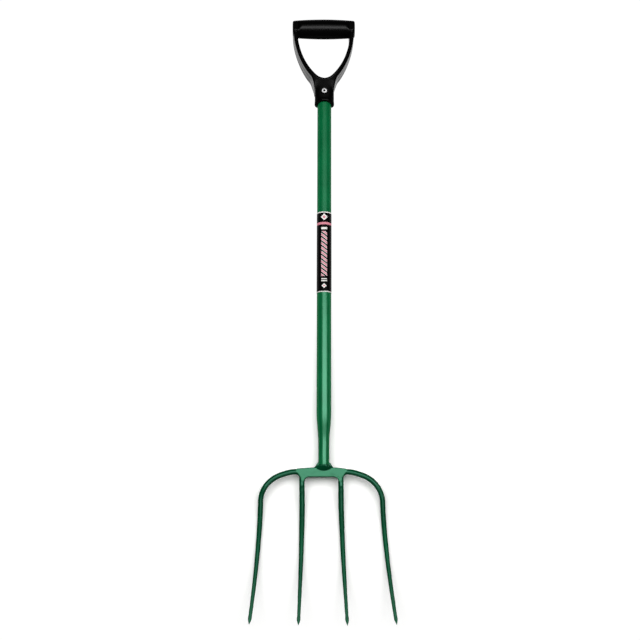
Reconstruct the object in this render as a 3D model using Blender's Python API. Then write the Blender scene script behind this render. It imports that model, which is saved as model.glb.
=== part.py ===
"""Manure fork: a forged steel head with four tines on a tubular shaft, with a moulded D handle.

The fork lies on its back. The shaft runs along Y, with the handle at +Y and the points at -Y. X runs
across the tines and +Z is the front of the fork. All lengths are in metres. The pieces are drawn with Y
counted from the shaft's lower end and Z from its axis, and the last step moves the whole fork so that the
origin is under the middle of it.
"""

import math

import bmesh
import bpy
from mathutils import Vector

# Gap kept between two pieces that touch.
CLEARANCE = 0.0003

# Shaft: one steel tube, swaged down to a narrow neck at the head.
SHAFT_LENGTH = 0.777
SHAFT_DIAMETER = 0.0285
SHAFT_WALL = 0.0015
NECK_DIAMETER = 0.0212
NECK_LENGTH = 0.040
SWAGE_LENGTH = 0.060
SHAFT_END_ROUND = 0.0006
SHAFT_SIDES = 48

# Label sleeve: a thin printed film shrunk round the shaft.
LABEL_START = 0.3352
LABEL_LENGTH = 0.1645
LABEL_THICKNESS = 0.0003

# Handle: socket over the shaft's upper end, two arms and a barrel grip, moulded in one.
SOCKET_DEPTH = 0.0424
SOCKET_WALL = 0.0052
SOCKET_END_WALL = 0.0096
SOCKET_TOP_HALF_DEPTH = 0.0174
SOCKET_TOP_SQUARENESS = 3.2
SOCKET_LIP = 0.0005
SOCKET_SCALLOP = 0.0056
SOCKET_EDGE_ROUND = 0.0032
GRIP_RISE = 0.1172
GRIP_LENGTH = 0.130
GRIP_DIAMETER = 0.0395
GRIP_END_DIAMETER = 0.0358
GRIP_END_ROUND = 0.0036
GRIP_SHIFT = -0.0015
ARM_INSET = 0.0015
ARM_TOP_THICKNESS = 0.0097
ARM_HALF_DEPTH = 0.0150
ARM_FORK_HALF_DEPTH = 0.0184
ARM_FOOT_HALF_DEPTH = 0.0105
ARM_FOOT_START = 0.0080
ARM_FOOT_FALL = 0.0190
ARM_RIDGE_WIDTH = 0.0022
ARM_GROOVE_DEPTH = 0.0011
ARM_GROOVE_SLOPE = 0.0008
ARM_EDGE_ROUND = 0.0011
HAND_OPENING_HEIGHT = 0.0945
HAND_OPENING_FULLNESS = 1.65

# Blind rivet through the socket and the shaft's front wall.
RIVET_FROM_MOUTH = 0.0224
RIVET_SEAT_DEPTH = 0.0006
RIVET_SEAT_DIAMETER = 0.0135
RIVET_HEAD_DIAMETER = 0.0098
RIVET_HEAD_HEIGHT = 0.0014
RIVET_BODY_DIAMETER = 0.0048
RIVET_BORE_DIAMETER = 0.0030
RIVET_BULB_DIAMETER = 0.0070
RIVET_BULB_LENGTH = 0.0052
MANDREL_RECESS = 0.0018
MANDREL_HEAD_HEIGHT = 0.0022

# Head: flat crown, tang and four drawn tines. It sits a little to the left of the shaft's axis.
HEAD_SHIFT = -0.0045
CROWN_TOP = 0.0052
CROWN_HALF_THICKNESS = 0.0053
CROWN_CORNER_X = 0.0474
CROWN_CORNER_DROP = 0.0036
CROWN_HEIGHT = 0.0180
CROWN_FLAT_TOP_X = 0.0200
CROWN_EDGE_ROUND = 0.0008
WEB_HALF_THICKNESS = 0.0037
WEB_EDGE_ROUND = 0.0024
CROTCH_RADIUS = 0.0090
CROTCH_SINK = 0.0007
TONGUE_LENGTH = 0.0106
TONGUE_OFFSET = 0.0030
TONGUE_END_WIDTH = 0.0008
WING_START = 0.0122
WING_REACH = 0.0195
WING_RISE = 0.0046
WING_HALF_THICKNESS = 0.0032
TANG_LENGTH = 0.070
TANG_END_DIAMETER = 0.0090

# Tines: round bars that arch or run down from the crown, dip back and then sweep up to the points.
BAR_DIAMETER = 0.0104
OUTER_SHOULDER_DIAMETER = 0.0099
BAR_Y = -0.0161
INNER_X = 0.0371
INNER_ROOT_Y = -0.0380
OUTER_ROOT_X = 0.0565
OUTER_SHOULDER_X = 0.1162
SHOULDER_Y = -0.0710
INNER_REACH = 0.2923
OUTER_REACH = 0.2898
INNER_SPLAY = 0.0067
OUTER_SPLAY = 0.0160
SPLAY_POWER = 1.35
TINE_LEAN = 0.0128
BEND_START_Y = -0.0260
BEND_RADIUS = 0.090
BEND_ANGLE = math.radians(16.0)
DISH_RADIUS = 0.295
POINT_LENGTH = 0.0230
INNER_POINT_NECK = 0.0061
OUTER_POINT_NECK = 0.0067
DRAW_POWER = 1.25
POINT_WIDTH = 0.0068
POINT_THICKNESS = 0.0048
POINT_END_DIAMETER = 0.0007
TINE_SIDES = 16

# Weld between the shaft's lower end, the tang and the crown.
WELD_RISE = 0.0010
WELD_FALL = 0.0118
WELD_LEG = 0.0021
WELD_HALF_WIDTH = 0.0184
WELD_ROOT = 0.0009
WELD_SIDES = 32

SHAFT_RADIUS = SHAFT_DIAMETER / 2
NECK_RADIUS = NECK_DIAMETER / 2
NECK_BORE = NECK_RADIUS - SHAFT_WALL
BAR_RADIUS = BAR_DIAMETER / 2
SOCKET_BORE = SHAFT_RADIUS + CLEARANCE
SOCKET_RADIUS = SOCKET_BORE + SOCKET_WALL
MOUTH_Y = SHAFT_LENGTH - SOCKET_DEPTH
BORE_END_Y = SHAFT_LENGTH + CLEARANCE
OPENING_Y = BORE_END_Y + SOCKET_END_WALL
GRIP_Y = OPENING_Y + GRIP_RISE
ARM_OUTER_X = GRIP_LENGTH / 2 - ARM_INSET
ARM_INNER_X = ARM_OUTER_X - ARM_TOP_THICKNESS
RIVET_Y = MOUTH_Y + RIVET_FROM_MOUTH
CROWN_TOP_Y = -CROWN_TOP
CROWN_LOW_Y = CROWN_TOP_Y - CROWN_HEIGHT
WELD_SEAT = CROWN_HALF_THICKNESS - WELD_ROOT

GREEN_PAINT = ("green_enamel", (0.010, 0.150, 0.060, 1.0), 0.30, 0.35)
BLACK_PLASTIC = ("black_plastic", (0.006, 0.006, 0.006, 1.0), 0.45, 0.0)
ALUMINIUM = ("aluminium", (0.80, 0.80, 0.81, 1.0), 0.30, 1.0)
STEEL = ("mandrel_steel", (0.30, 0.30, 0.31, 1.0), 0.40, 1.0)
LABEL_FILM = ("label_film", (0.012, 0.012, 0.012, 1.0), 0.35, 0.0)


def clear_scene():
    """Remove every object that the new file starts with."""
    for obj in list(bpy.data.objects):
        bpy.data.objects.remove(obj, do_unlink=True)


def make_material(finish):
    """A Principled material from a finish: its name, colour, roughness and metallic value."""
    name, colour, roughness, metallic = finish
    material = bpy.data.materials.get(name)
    if material is None:
        material = bpy.data.materials.new(name)
        material.use_nodes = True
        shader = material.node_tree.nodes["Principled BSDF"]
        shader.inputs["Base Color"].default_value = colour
        shader.inputs["Roughness"].default_value = roughness
        shader.inputs["Metallic"].default_value = metallic
    return material


def smoothstep(t):
    """A soft step from 0 to 1."""
    t = min(1.0, max(0.0, t))
    return t * t * (3 - 2 * t)


def mix(a, b, t):
    """The value that lies t of the way from a to b."""
    return a + (b - a) * t


def oval(angle, half_width, half_depth, power=2.0):
    """A point on a rounded outline. Power 2 is an ellipse, more is squarer and less is a diamond."""
    across = math.cos(angle)
    up = math.sin(angle)
    x = math.copysign(abs(across) ** (2 / power), across) * half_width
    z = math.copysign(abs(up) ** (2 / power), up) * half_depth
    return x, z


def turn_angles(count):
    """Equal angles round a full turn."""
    return [2 * math.pi * i / count for i in range(count)]


def ring_across(y, half_width, half_depth, count, power=2.0):
    """A ring of points round the shaft's axis, square to it."""
    points = []
    for angle in turn_angles(count):
        x, z = oval(angle, half_width, half_depth, power)
        points.append(Vector((x, y, z)))
    return points


def loft(rings, closed=False):
    """A closed skin through rings of equal count. A closed loft joins its last ring to its first."""
    bm = bmesh.new()
    rows = []
    for ring in rings:
        rows.append([bm.verts.new(point) for point in ring])
    pairs = list(zip(rows, rows[1:]))
    if closed:
        pairs.append((rows[-1], rows[0]))
    for low, high in pairs:
        for i in range(len(low)):
            j = (i + 1) % len(low)
            bm.faces.new((low[i], low[j], high[j], high[i]))
    if not closed:
        bm.faces.new(reversed(rows[0]))
        bm.faces.new(rows[-1])
    bmesh.ops.recalc_face_normals(bm, faces=bm.faces)
    return bm


def extrude_outline(outline, low, high):
    """A flat plate: the outline in X and Y, from one height to another."""
    bm = bmesh.new()
    face = bm.faces.new([bm.verts.new((x, y, low)) for x, y in outline])
    made = bmesh.ops.extrude_face_region(bm, geom=[face])
    lifted = [item for item in made["geom"] if isinstance(item, bmesh.types.BMVert)]
    bmesh.ops.translate(bm, verts=lifted, vec=(0, 0, high - low))
    bmesh.ops.recalc_face_normals(bm, faces=bm.faces)
    return bm


def arc(centre, radius, start, end, steps):
    """Points along an arc in X and Y, from one angle to another in degrees."""
    points = []
    for i in range(steps + 1):
        angle = math.radians(mix(start, end, i / steps))
        points.append((centre[0] + radius * math.cos(angle), centre[1] + radius * math.sin(angle)))
    return points


def bezier(points, t):
    """A point on the cubic curve through four control points."""
    a, b, c, d = points
    s = 1 - t
    return a * s**3 + b * 3 * s * s * t + c * 3 * s * t * t + d * t**3


def add_object(name, bm, finish, fork, sharp=35):
    """Turn a mesh under construction into a named object that hangs on the fork."""
    mesh = bpy.data.meshes.new(name)
    bm.to_mesh(mesh)
    bm.free()
    mesh.shade_smooth()
    mesh.set_sharp_from_angle(angle=math.radians(sharp))
    mesh.materials.append(make_material(finish))
    obj = bpy.data.objects.new(name, mesh)
    bpy.context.scene.collection.objects.link(obj)
    obj.parent = fork
    return obj


def add_guide(name, bm, finish, fork):
    """An object that only shapes another one: it is joined to it or cut from it."""
    guide = add_object(name, bm, finish, fork)
    guide.hide_render = True
    guide.display_type = "WIRE"
    return guide


def combine(obj, other, operation):
    """Join the other object to this one, or cut it away."""
    change = obj.modifiers.new(f"{operation.lower()}_{other.name}", "BOOLEAN")
    change.operation = operation
    change.solver = "EXACT"
    change.object = other


def round_edges(obj, width, segments=2):
    """Round the sharp edges of an object."""
    bevel = obj.modifiers.new("round_edges", "BEVEL")
    bevel.width = width
    bevel.segments = segments
    bevel.limit_method = "ANGLE"
    bevel.angle_limit = math.radians(40)


def rod_along_z(y, radius, low, high, count=24, x=0.0):
    """A round rod square to the fork's face."""
    rings = []
    for z in (low, high):
        rings.append([Vector((x + radius * math.cos(a), y + radius * math.sin(a), z)) for a in turn_angles(count)])
    return loft(rings)


def turned_along_z(y, profile, count, closed=False):
    """A turned piece square to the fork's face, from its radius and height pairs."""
    rings = []
    for radius, z in profile:
        rings.append([Vector((radius * math.cos(a), y + radius * math.sin(a), z)) for a in turn_angles(count)])
    return loft(rings, closed)


def shaft_radius(y):
    """The tube's outer radius: narrow neck, swage and full size."""
    return mix(NECK_RADIUS, SHAFT_RADIUS, smoothstep((y - NECK_LENGTH) / SWAGE_LENGTH))


def build_shaft(fork):
    """Steel tube with a swaged neck and the rivet's hole near its upper end."""
    swage_steps = 8
    levels = [SHAFT_END_ROUND, NECK_LENGTH]
    levels += [NECK_LENGTH + SWAGE_LENGTH * i / swage_steps for i in range(1, swage_steps + 1)]
    levels.append(SHAFT_LENGTH - SHAFT_END_ROUND)
    profile = [(NECK_RADIUS - SHAFT_END_ROUND, 0.0)]
    profile += [(shaft_radius(y), y) for y in levels]
    profile.append((SHAFT_RADIUS - SHAFT_END_ROUND, SHAFT_LENGTH))
    profile.append((SHAFT_RADIUS - SHAFT_WALL, SHAFT_LENGTH))
    profile += [(shaft_radius(y) - SHAFT_WALL, y) for y in reversed(levels[1:-1])]
    profile.append((NECK_BORE, 0.0))
    rings = [ring_across(y, radius, radius, SHAFT_SIDES) for radius, y in profile]
    shaft = add_object("shaft_tube", loft(rings, closed=True), GREEN_PAINT, fork)
    hole = rod_along_z(RIVET_Y, RIVET_BODY_DIAMETER / 2 + CLEARANCE, 0.0, SHAFT_DIAMETER)
    combine(shaft, add_guide("cut_shaft_rivet_hole", hole, GREEN_PAINT, fork), "DIFFERENCE")
    return shaft


def build_label(fork):
    """Thin printed sleeve round the shaft."""
    inner = SHAFT_RADIUS + CLEARANCE
    outer = inner + LABEL_THICKNESS
    end = LABEL_START + LABEL_LENGTH
    profile = [(outer, LABEL_START), (outer, end), (inner, end), (inner, LABEL_START)]
    rings = [ring_across(y, radius, radius, SHAFT_SIDES) for radius, y in profile]
    return add_object("label_sleeve", loft(rings, closed=True), LABEL_FILM, fork)


def grip_mesh():
    """Barrel grip: a turned shape about a line across the fork, fullest in the middle."""
    half = GRIP_LENGTH / 2
    barrel_steps = 8
    round_steps = 3
    profile = []
    for i in range(round_steps + 1):
        angle = math.pi / 2 * i / round_steps
        x = -half + GRIP_END_ROUND * (1 - math.sin(angle))
        profile.append((GRIP_END_DIAMETER / 2 - GRIP_END_ROUND * (1 - math.cos(angle)), x))
    profile.reverse()
    profile = [(r, x) for r, x in sorted(profile, key=lambda item: item[1])]
    straight = half - GRIP_END_ROUND
    for i in range(1, barrel_steps):
        x = mix(-straight, straight, i / barrel_steps)
        crown = 1 - (x / straight) ** 2
        profile.append((mix(GRIP_END_DIAMETER, GRIP_DIAMETER, crown) / 2, x))
    profile += [(r, -x) for r, x in reversed(profile[: round_steps + 1])]
    rings = []
    for radius, x in profile:
        x += GRIP_SHIFT
        ring = [Vector((x, GRIP_Y + radius * math.cos(a), radius * math.sin(a))) for a in turn_angles(40)]
        rings.append(ring)
    return loft(rings)


def arm_inner_point(angle):
    """A point on the hand opening's arch, from its side at 0 to its lowest point at a quarter turn."""
    x, drop = oval(angle, ARM_INNER_X, HAND_OPENING_HEIGHT, HAND_OPENING_FULLNESS)
    return Vector((x, OPENING_Y + HAND_OPENING_HEIGHT - drop, 0))


def arm_outer_point(t):
    """A point on the arm's outer edge, from the grip at 0 to the socket's side at 1."""
    controls = (
        Vector((ARM_OUTER_X, OPENING_Y + HAND_OPENING_HEIGHT + 0.005, 0)),
        Vector((ARM_OUTER_X - 0.0035, OPENING_Y + 0.42 * HAND_OPENING_HEIGHT, 0)),
        Vector((SOCKET_RADIUS + 0.0063, OPENING_Y + 0.09 * HAND_OPENING_HEIGHT, 0)),
        Vector((SOCKET_RADIUS - SOCKET_WALL * 0.3, OPENING_Y - SOCKET_DEPTH * 0.65, 0)),
    )
    return bezier(controls, t)


def arm_half_depth(y):
    """Half the arm's depth: slim beside the hand opening, deep at its foot, then fading into the socket."""
    foot_y = OPENING_Y - ARM_FOOT_START
    if y < foot_y:
        return mix(ARM_FORK_HALF_DEPTH, ARM_FOOT_HALF_DEPTH, smoothstep((foot_y - y) / ARM_FOOT_FALL))
    t = (OPENING_Y + 0.6 * HAND_OPENING_HEIGHT - y) / (0.6 * HAND_OPENING_HEIGHT)
    return mix(ARM_HALF_DEPTH, ARM_FORK_HALF_DEPTH, smoothstep(t))


def arm_section(outer, inner):
    """One ring round the arm: ridges along both edges of its front and back, with a groove between."""
    across = inner - outer
    width = across.length
    across.normalize()
    profile = [
        (0.0, ARM_EDGE_ROUND),
        (ARM_EDGE_ROUND, 0.0),
        (ARM_RIDGE_WIDTH, 0.0),
        (ARM_RIDGE_WIDTH + ARM_GROOVE_SLOPE, ARM_GROOVE_DEPTH),
        (width - ARM_RIDGE_WIDTH - ARM_GROOVE_SLOPE, ARM_GROOVE_DEPTH),
        (width - ARM_RIDGE_WIDTH, 0.0),
        (width - ARM_EDGE_ROUND, 0.0),
        (width, ARM_EDGE_ROUND),
    ]
    front = []
    for along, below in profile:
        place = outer + across * along
        front.append(place + Vector((0, 0, arm_half_depth(place.y) - below)))
    ring = front + [Vector((point.x, point.y, -point.z)) for point in reversed(front)]
    for point in ring:
        point.x += GRIP_SHIFT * max(0.0, (point.y - OPENING_Y) / GRIP_RISE)
    return ring


def arms_mesh():
    """Both arms in one sweep, from one end of the grip round the hand opening to the other."""
    stations = 16
    last_angle = math.radians(84)
    top = Vector((0, GRIP_Y - OPENING_Y - HAND_OPENING_HEIGHT - 0.006, 0))
    half = [(arm_outer_point(0) + top, arm_inner_point(0) + top)]
    for k in range(stations + 1):
        t = k / stations
        half.append((arm_outer_point(t), arm_inner_point(last_angle * t)))
    low_outer = arm_outer_point(1)
    middle = (Vector((0, low_outer.y, 0)), arm_inner_point(math.pi / 2))
    mirror = Vector((-1, 1, 1))
    other = [(outer * mirror, inner * mirror) for outer, inner in reversed(half)]
    sections = half + [(middle[0], Vector((0, middle[1].y, 0)))] + other
    return loft([arm_section(outer, inner) for outer, inner in sections])


def socket_mesh():
    """Socket: round at its scalloped mouth and squarer under the hand opening, still without its bore."""
    count = SHAFT_SIDES
    fade = SOCKET_DEPTH * 0.4
    levels = []
    for degrees in (0, 30, 60, 90):
        angle = math.radians(degrees)
        out = SOCKET_LIP - (SOCKET_EDGE_ROUND + SOCKET_LIP) * (1 - math.sin(angle))
        levels.append((SOCKET_EDGE_ROUND * (1 - math.cos(angle)), out))
    levels.append((SOCKET_DEPTH * 0.25, 0.0))
    levels.append((SOCKET_DEPTH * 0.4, 0.0))
    levels.append((SOCKET_DEPTH * 0.7, 0.0))
    levels.append((SOCKET_DEPTH, 0.0))
    levels.append((SOCKET_DEPTH + SOCKET_END_WALL * 0.9, -0.5 * SOCKET_EDGE_ROUND))
    top = levels[-1][0]
    rings = []
    for inward in (0.5, 0.9):
        rings.append(scalloped(ring_across(MOUTH_Y, SOCKET_BORE * inward, SOCKET_BORE * inward, count), 1.0))
    for level, extra in levels:
        t = smoothstep(level / top)
        half_width = SOCKET_RADIUS + extra
        half_depth = mix(SOCKET_RADIUS, SOCKET_TOP_HALF_DEPTH, t) + extra
        power = mix(2.0, SOCKET_TOP_SQUARENESS, t)
        ring = ring_across(MOUTH_Y + level, half_width, half_depth, count, power)
        rings.append(scalloped(ring, max(0.0, 1 - level / fade)))
    return loft(rings)


def scalloped(ring, share):
    """Raise a ring at the front and back, so that the mouth has an ear at each side."""
    for point, angle in zip(ring, turn_angles(len(ring))):
        point.y += SOCKET_SCALLOP * share * (smoothstep(0.5 - 0.5 * math.cos(2 * angle)) - 0.5)
    return ring


def rivet_seat_z():
    """Height of the flat that the rivet's head sits on."""
    t = smoothstep(RIVET_FROM_MOUTH / (SOCKET_DEPTH + SOCKET_END_WALL * 0.9))
    return mix(SOCKET_RADIUS, SOCKET_TOP_HALF_DEPTH, t) - RIVET_SEAT_DEPTH


def build_handle(fork):
    """Moulded handle: grip, arms and socket joined, then bored for the shaft and its rivet."""
    handle = add_object("d_handle", arms_mesh(), BLACK_PLASTIC, fork)
    combine(handle, add_guide("join_grip", grip_mesh(), BLACK_PLASTIC, fork), "UNION")
    combine(handle, add_guide("join_socket", socket_mesh(), BLACK_PLASTIC, fork), "UNION")
    bore_rings = [ring_across(y, SOCKET_BORE, SOCKET_BORE, SHAFT_SIDES) for y in (MOUTH_Y - SOCKET_DEPTH, BORE_END_Y)]
    combine(handle, add_guide("cut_bore", loft(bore_rings), BLACK_PLASTIC, fork), "DIFFERENCE")
    seat = rivet_seat_z()
    flat = rod_along_z(RIVET_Y, RIVET_SEAT_DIAMETER / 2, seat, seat + SOCKET_RADIUS, 32)
    combine(handle, add_guide("cut_rivet_seat", flat, BLACK_PLASTIC, fork), "DIFFERENCE")
    hole = rod_along_z(RIVET_Y, RIVET_BODY_DIAMETER / 2 + CLEARANCE, 0.0, seat + SOCKET_RADIUS)
    combine(handle, add_guide("cut_rivet_hole", hole, BLACK_PLASTIC, fork), "DIFFERENCE")
    return handle


def build_rivet(fork):
    """Set blind rivet: a domed body with its bulb inside the shaft, and what stays of the mandrel."""
    low = rivet_seat_z() + CLEARANCE
    top = low + RIVET_HEAD_HEIGHT
    head = RIVET_HEAD_DIAMETER / 2
    body = RIVET_BODY_DIAMETER / 2
    bore = RIVET_BORE_DIAMETER / 2
    bulb = RIVET_BULB_DIAMETER / 2
    bulb_top = SHAFT_RADIUS - SHAFT_WALL - 3 * CLEARANCE
    bulb_low = bulb_top - RIVET_BULB_LENGTH
    profile = [
        (bore, top),
        (bore + 0.3 * (head - bore), top),
        (bore + 0.75 * (head - bore), mix(low, top, 0.75)),
        (head, mix(low, top, 0.3)),
        (head, low),
        (body, low),
        (body, bulb_top),
        (bulb, mix(bulb_top, bulb_low, 0.3)),
        (bulb, mix(bulb_top, bulb_low, 0.6)),
        (body, bulb_low),
        (bore, bulb_low),
    ]
    add_object("rivet_body", turned_along_z(RIVET_Y, profile, 24, closed=True), ALUMINIUM, fork, sharp=50)
    stem = bore - CLEARANCE
    stem_low = bulb_low - CLEARANCE
    mandrel = [
        (stem * 0.8, top - MANDREL_RECESS),
        (stem, top - MANDREL_RECESS - 0.2 * stem),
        (stem, stem_low),
        (body, stem_low),
        (body, stem_low - 0.6 * MANDREL_HEAD_HEIGHT),
        (0.5 * body, stem_low - MANDREL_HEAD_HEIGHT),
    ]
    add_object("rivet_mandrel", turned_along_z(RIVET_Y, mandrel, 16), STEEL, fork)


def head_x(x, y):
    """X of a place on the head: shifted with the head, and leaning a little further down."""
    return x + HEAD_SHIFT + TINE_LEAN * max(0.0, BEND_START_Y - y)


def dish_height(y):
    """Height of the tines' centres: level at the crown, bent back, then swept up in one long arc."""
    if y >= BEND_START_Y:
        return 0.0
    bend_end = BEND_START_Y - BEND_RADIUS * math.sin(BEND_ANGLE)
    if y >= bend_end:
        return math.sqrt(BEND_RADIUS**2 - (BEND_START_Y - y) ** 2) - BEND_RADIUS
    drop = BEND_RADIUS * (1 - math.cos(BEND_ANGLE))
    sine = math.sin(BEND_ANGLE) - (bend_end - y) / DISH_RADIUS
    return -drop - DISH_RADIUS * (math.sqrt(1 - sine * sine) - math.cos(BEND_ANGLE))


def tine_point(x, y):
    """A place on a tine's centre line, given in the head's own X."""
    return Vector((head_x(x, y), y, dish_height(y)))


def splayed(x, splay, share):
    """X of a tine below its shoulder, spreading towards the point."""
    return x + splay * share**SPLAY_POWER


def drawn_radius(top, neck, share):
    """Bar radius below the shoulder, drawn down from its size there to the neck of the point."""
    return mix(top, neck, share**DRAW_POWER) / 2


def bar_ring(centre, along, radius, thickness=None, power=2.0):
    """A ring round a bar, square to the way it runs, with its flat side to the front."""
    side = along.cross(Vector((0, 0, 1))).normalized()
    front = side.cross(along).normalized()
    ring = []
    for angle in turn_angles(TINE_SIDES):
        x, z = oval(angle, radius, thickness or radius, power)
        ring.append(centre + side * x + front * z)
    return ring


def drawn_run(x, splay, reach, top, neck):
    """Centres and radii from the shoulder to the neck of the point."""
    low = -reach + POINT_LENGTH
    steps = 12
    run = []
    for i in range(steps + 1):
        share = i / steps
        centre = tine_point(splayed(x, splay, share), mix(SHOULDER_Y, low, share))
        run.append((centre, drawn_radius(top, neck, share)))
    return run


def spear_rings(neck, along, neck_diameter):
    """The forged point: a slim diamond that widens from the neck and then runs out."""
    stages = (
        (0.18, neck_diameter * 0.94, neck_diameter * 0.92, 1.9),
        (0.40, POINT_WIDTH * 0.93, POINT_THICKNESS * 1.08, 1.45),
        (0.56, POINT_WIDTH, POINT_THICKNESS, 1.25),
        (0.78, POINT_WIDTH * 0.62, POINT_THICKNESS * 0.66, 1.2),
        (1.00, POINT_END_DIAMETER, POINT_END_DIAMETER, 1.5),
    )
    rings = []
    for share, width, thickness, power in stages:
        rings.append(bar_ring(neck + along * POINT_LENGTH * share, along, width / 2, thickness / 2, power))
    return rings


def bar_rings(run, first_along=None):
    """Rings along a run of centres and radii, each square to its neighbours' direction."""
    rings = []
    for i, (centre, radius) in enumerate(run):
        before = run[max(0, i - 1)][0]
        after = run[min(len(run) - 1, i + 1)][0]
        along = (after - before).normalized()
        if i == 0 and first_along is not None:
            along = first_along
        rings.append(bar_ring(centre, along, radius))
    return rings


def tine_mesh(run, first_along):
    """A whole tine: its run from the root, then its point."""
    last_along = (run[-1][0] - run[-2][0]).normalized()
    start = run[0][0] + first_along * CLEARANCE / 2
    run = [(start, run[0][1])] + run[1:]
    return loft(bar_rings(run, first_along) + spear_rings(run[-1][0], last_along, 2 * run[-1][1]))


def inner_direction():
    """The way the inner tines run where they leave the crown."""
    step = 0.0005
    return (tine_point(INNER_X, INNER_ROOT_Y - step) - tine_point(INNER_X, INNER_ROOT_Y + step)).normalized()


def outer_arch_point(side, angle):
    """A place on the outer tine's arch, from the crown at a quarter turn to the shoulder at 0."""
    rise = BAR_Y - SHOULDER_Y
    x = OUTER_ROOT_X + (OUTER_SHOULDER_X - OUTER_ROOT_X) * math.cos(angle)
    return tine_point(side * x, SHOULDER_Y + rise * math.sin(angle))


def build_tines(fork):
    """Two inner tines that run straight down and two outer tines that arch out first."""
    for side, word in ((-1, "left"), (1, "right")):
        root = [(tine_point(side * INNER_X, mix(INNER_ROOT_Y, SHOULDER_Y, i / 3)), BAR_RADIUS) for i in range(3)]
        run = root + drawn_run(side * INNER_X, side * INNER_SPLAY, INNER_REACH, BAR_DIAMETER, INNER_POINT_NECK)
        along = inner_direction()
        add_object(f"tine_inner_{word}", tine_mesh(run, along), GREEN_PAINT, fork, sharp=50)

        steps = 14
        arch = []
        for i in range(steps):
            radius = mix(BAR_DIAMETER, OUTER_SHOULDER_DIAMETER, i / steps) / 2
            arch.append((outer_arch_point(side, math.pi / 2 * (1 - i / steps)), radius))
        below = drawn_run(
            side * OUTER_SHOULDER_X, side * OUTER_SPLAY, OUTER_REACH, OUTER_SHOULDER_DIAMETER, OUTER_POINT_NECK
        )
        run = arch + below
        along = Vector((side, 0, 0))
        add_object(f"tine_outer_{word}", tine_mesh(run, along), GREEN_PAINT, fork, sharp=50)


def both_sides(right_half):
    """A closed outline about the head's centre line, from its right half."""
    left_half = [(-x, y) for x, y in reversed(right_half)]
    return [(x + HEAD_SHIFT, y) for x, y in right_half + left_half]


def inner_crotch():
    """Fillet between the crown's lower edge and the inner tine, from the edge down."""
    centre = (INNER_X - BAR_RADIUS - CROTCH_RADIUS + CROTCH_SINK, CROWN_LOW_Y - CROTCH_RADIUS)
    return arc(centre, CROTCH_RADIUS, 90, 0, 6)


def outer_crotch():
    """Fillet between the inner tine and the outer bar, from the tine up."""
    away = BAR_RADIUS + CROTCH_RADIUS - CROTCH_SINK
    return arc((INNER_X + away, BAR_Y - away), CROTCH_RADIUS, 180, 90, 6)


def crown_face_mesh():
    """The crown's thick dressed part, with a pointed tongue down each inner tine."""
    tip_y = CROWN_LOW_Y - TONGUE_LENGTH
    right_half = inner_crotch()[:4]
    right_half.append((INNER_X - TONGUE_OFFSET - TONGUE_END_WIDTH / 2, tip_y))
    right_half.append((INNER_X - TONGUE_OFFSET + TONGUE_END_WIDTH / 2, tip_y))
    right_half.append((CROWN_CORNER_X, CROWN_TOP_Y - CROWN_CORNER_DROP))
    outline = both_sides(right_half)
    corner = len(right_half)
    top_edge = [(CROWN_FLAT_TOP_X, CROWN_TOP_Y), (-CROWN_FLAT_TOP_X, CROWN_TOP_Y)]
    outline = outline[:corner] + top_edge + outline[corner:]
    return extrude_outline(outline, -CROWN_HALF_THICKNESS, CROWN_HALF_THICKNESS)


def crown_web_mesh():
    """The thinner web that fills the crotches between the bars."""
    right_half = inner_crotch()
    right_half.append((INNER_X, right_half[-1][1] - BAR_RADIUS))
    right_half += outer_crotch()
    right_half.append((right_half[-1][0], BAR_Y + 0.5 * BAR_RADIUS))
    return extrude_outline(both_sides(right_half), -WEB_HALF_THICKNESS, WEB_HALF_THICKNESS)


def inner_stub_mesh(side):
    """The start of an inner tine, from inside the crown to its root."""
    top_y = mix(CROWN_TOP_Y, CROWN_LOW_Y, 0.6)
    steps = 5
    run = [(tine_point(side * INNER_X, mix(top_y, INNER_ROOT_Y, i / steps)), BAR_RADIUS) for i in range(steps + 1)]
    end = run[-1][0] - inner_direction() * CLEARANCE / 2
    run[-1] = (end, BAR_RADIUS)
    rings = bar_rings(run)
    rings[-1] = bar_ring(end, inner_direction(), BAR_RADIUS)
    return loft(rings)


def outer_stub_mesh(side):
    """The start of an outer tine, from inside the crown to its root."""
    along = Vector((side, 0, 0))
    start = tine_point(side * (INNER_X + 0.5 * BAR_RADIUS), BAR_Y)
    end = outer_arch_point(side, math.pi / 2) - along * CLEARANCE / 2
    return loft([bar_ring(start, along, BAR_RADIUS), bar_ring(end, along, BAR_RADIUS)])


def tang_mesh():
    """Tapered tang inside the neck, on a shoulder that the weld goes round."""
    radius = NECK_BORE - CLEARANCE
    root = WELD_SEAT - CLEARANCE
    profile = [
        (root, mix(CROWN_TOP_Y, CROWN_LOW_Y, 0.3)),
        (root, CROWN_TOP_Y + CLEARANCE),
        (radius, -0.3 * CROWN_TOP),
        (radius, CROWN_TOP),
        (TANG_END_DIAMETER / 2, TANG_LENGTH - 0.5 * TANG_END_DIAMETER),
        (TANG_END_DIAMETER / 4, TANG_LENGTH),
    ]
    return loft([ring_across(y, r, r, WELD_SIDES) for r, y in profile])


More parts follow.
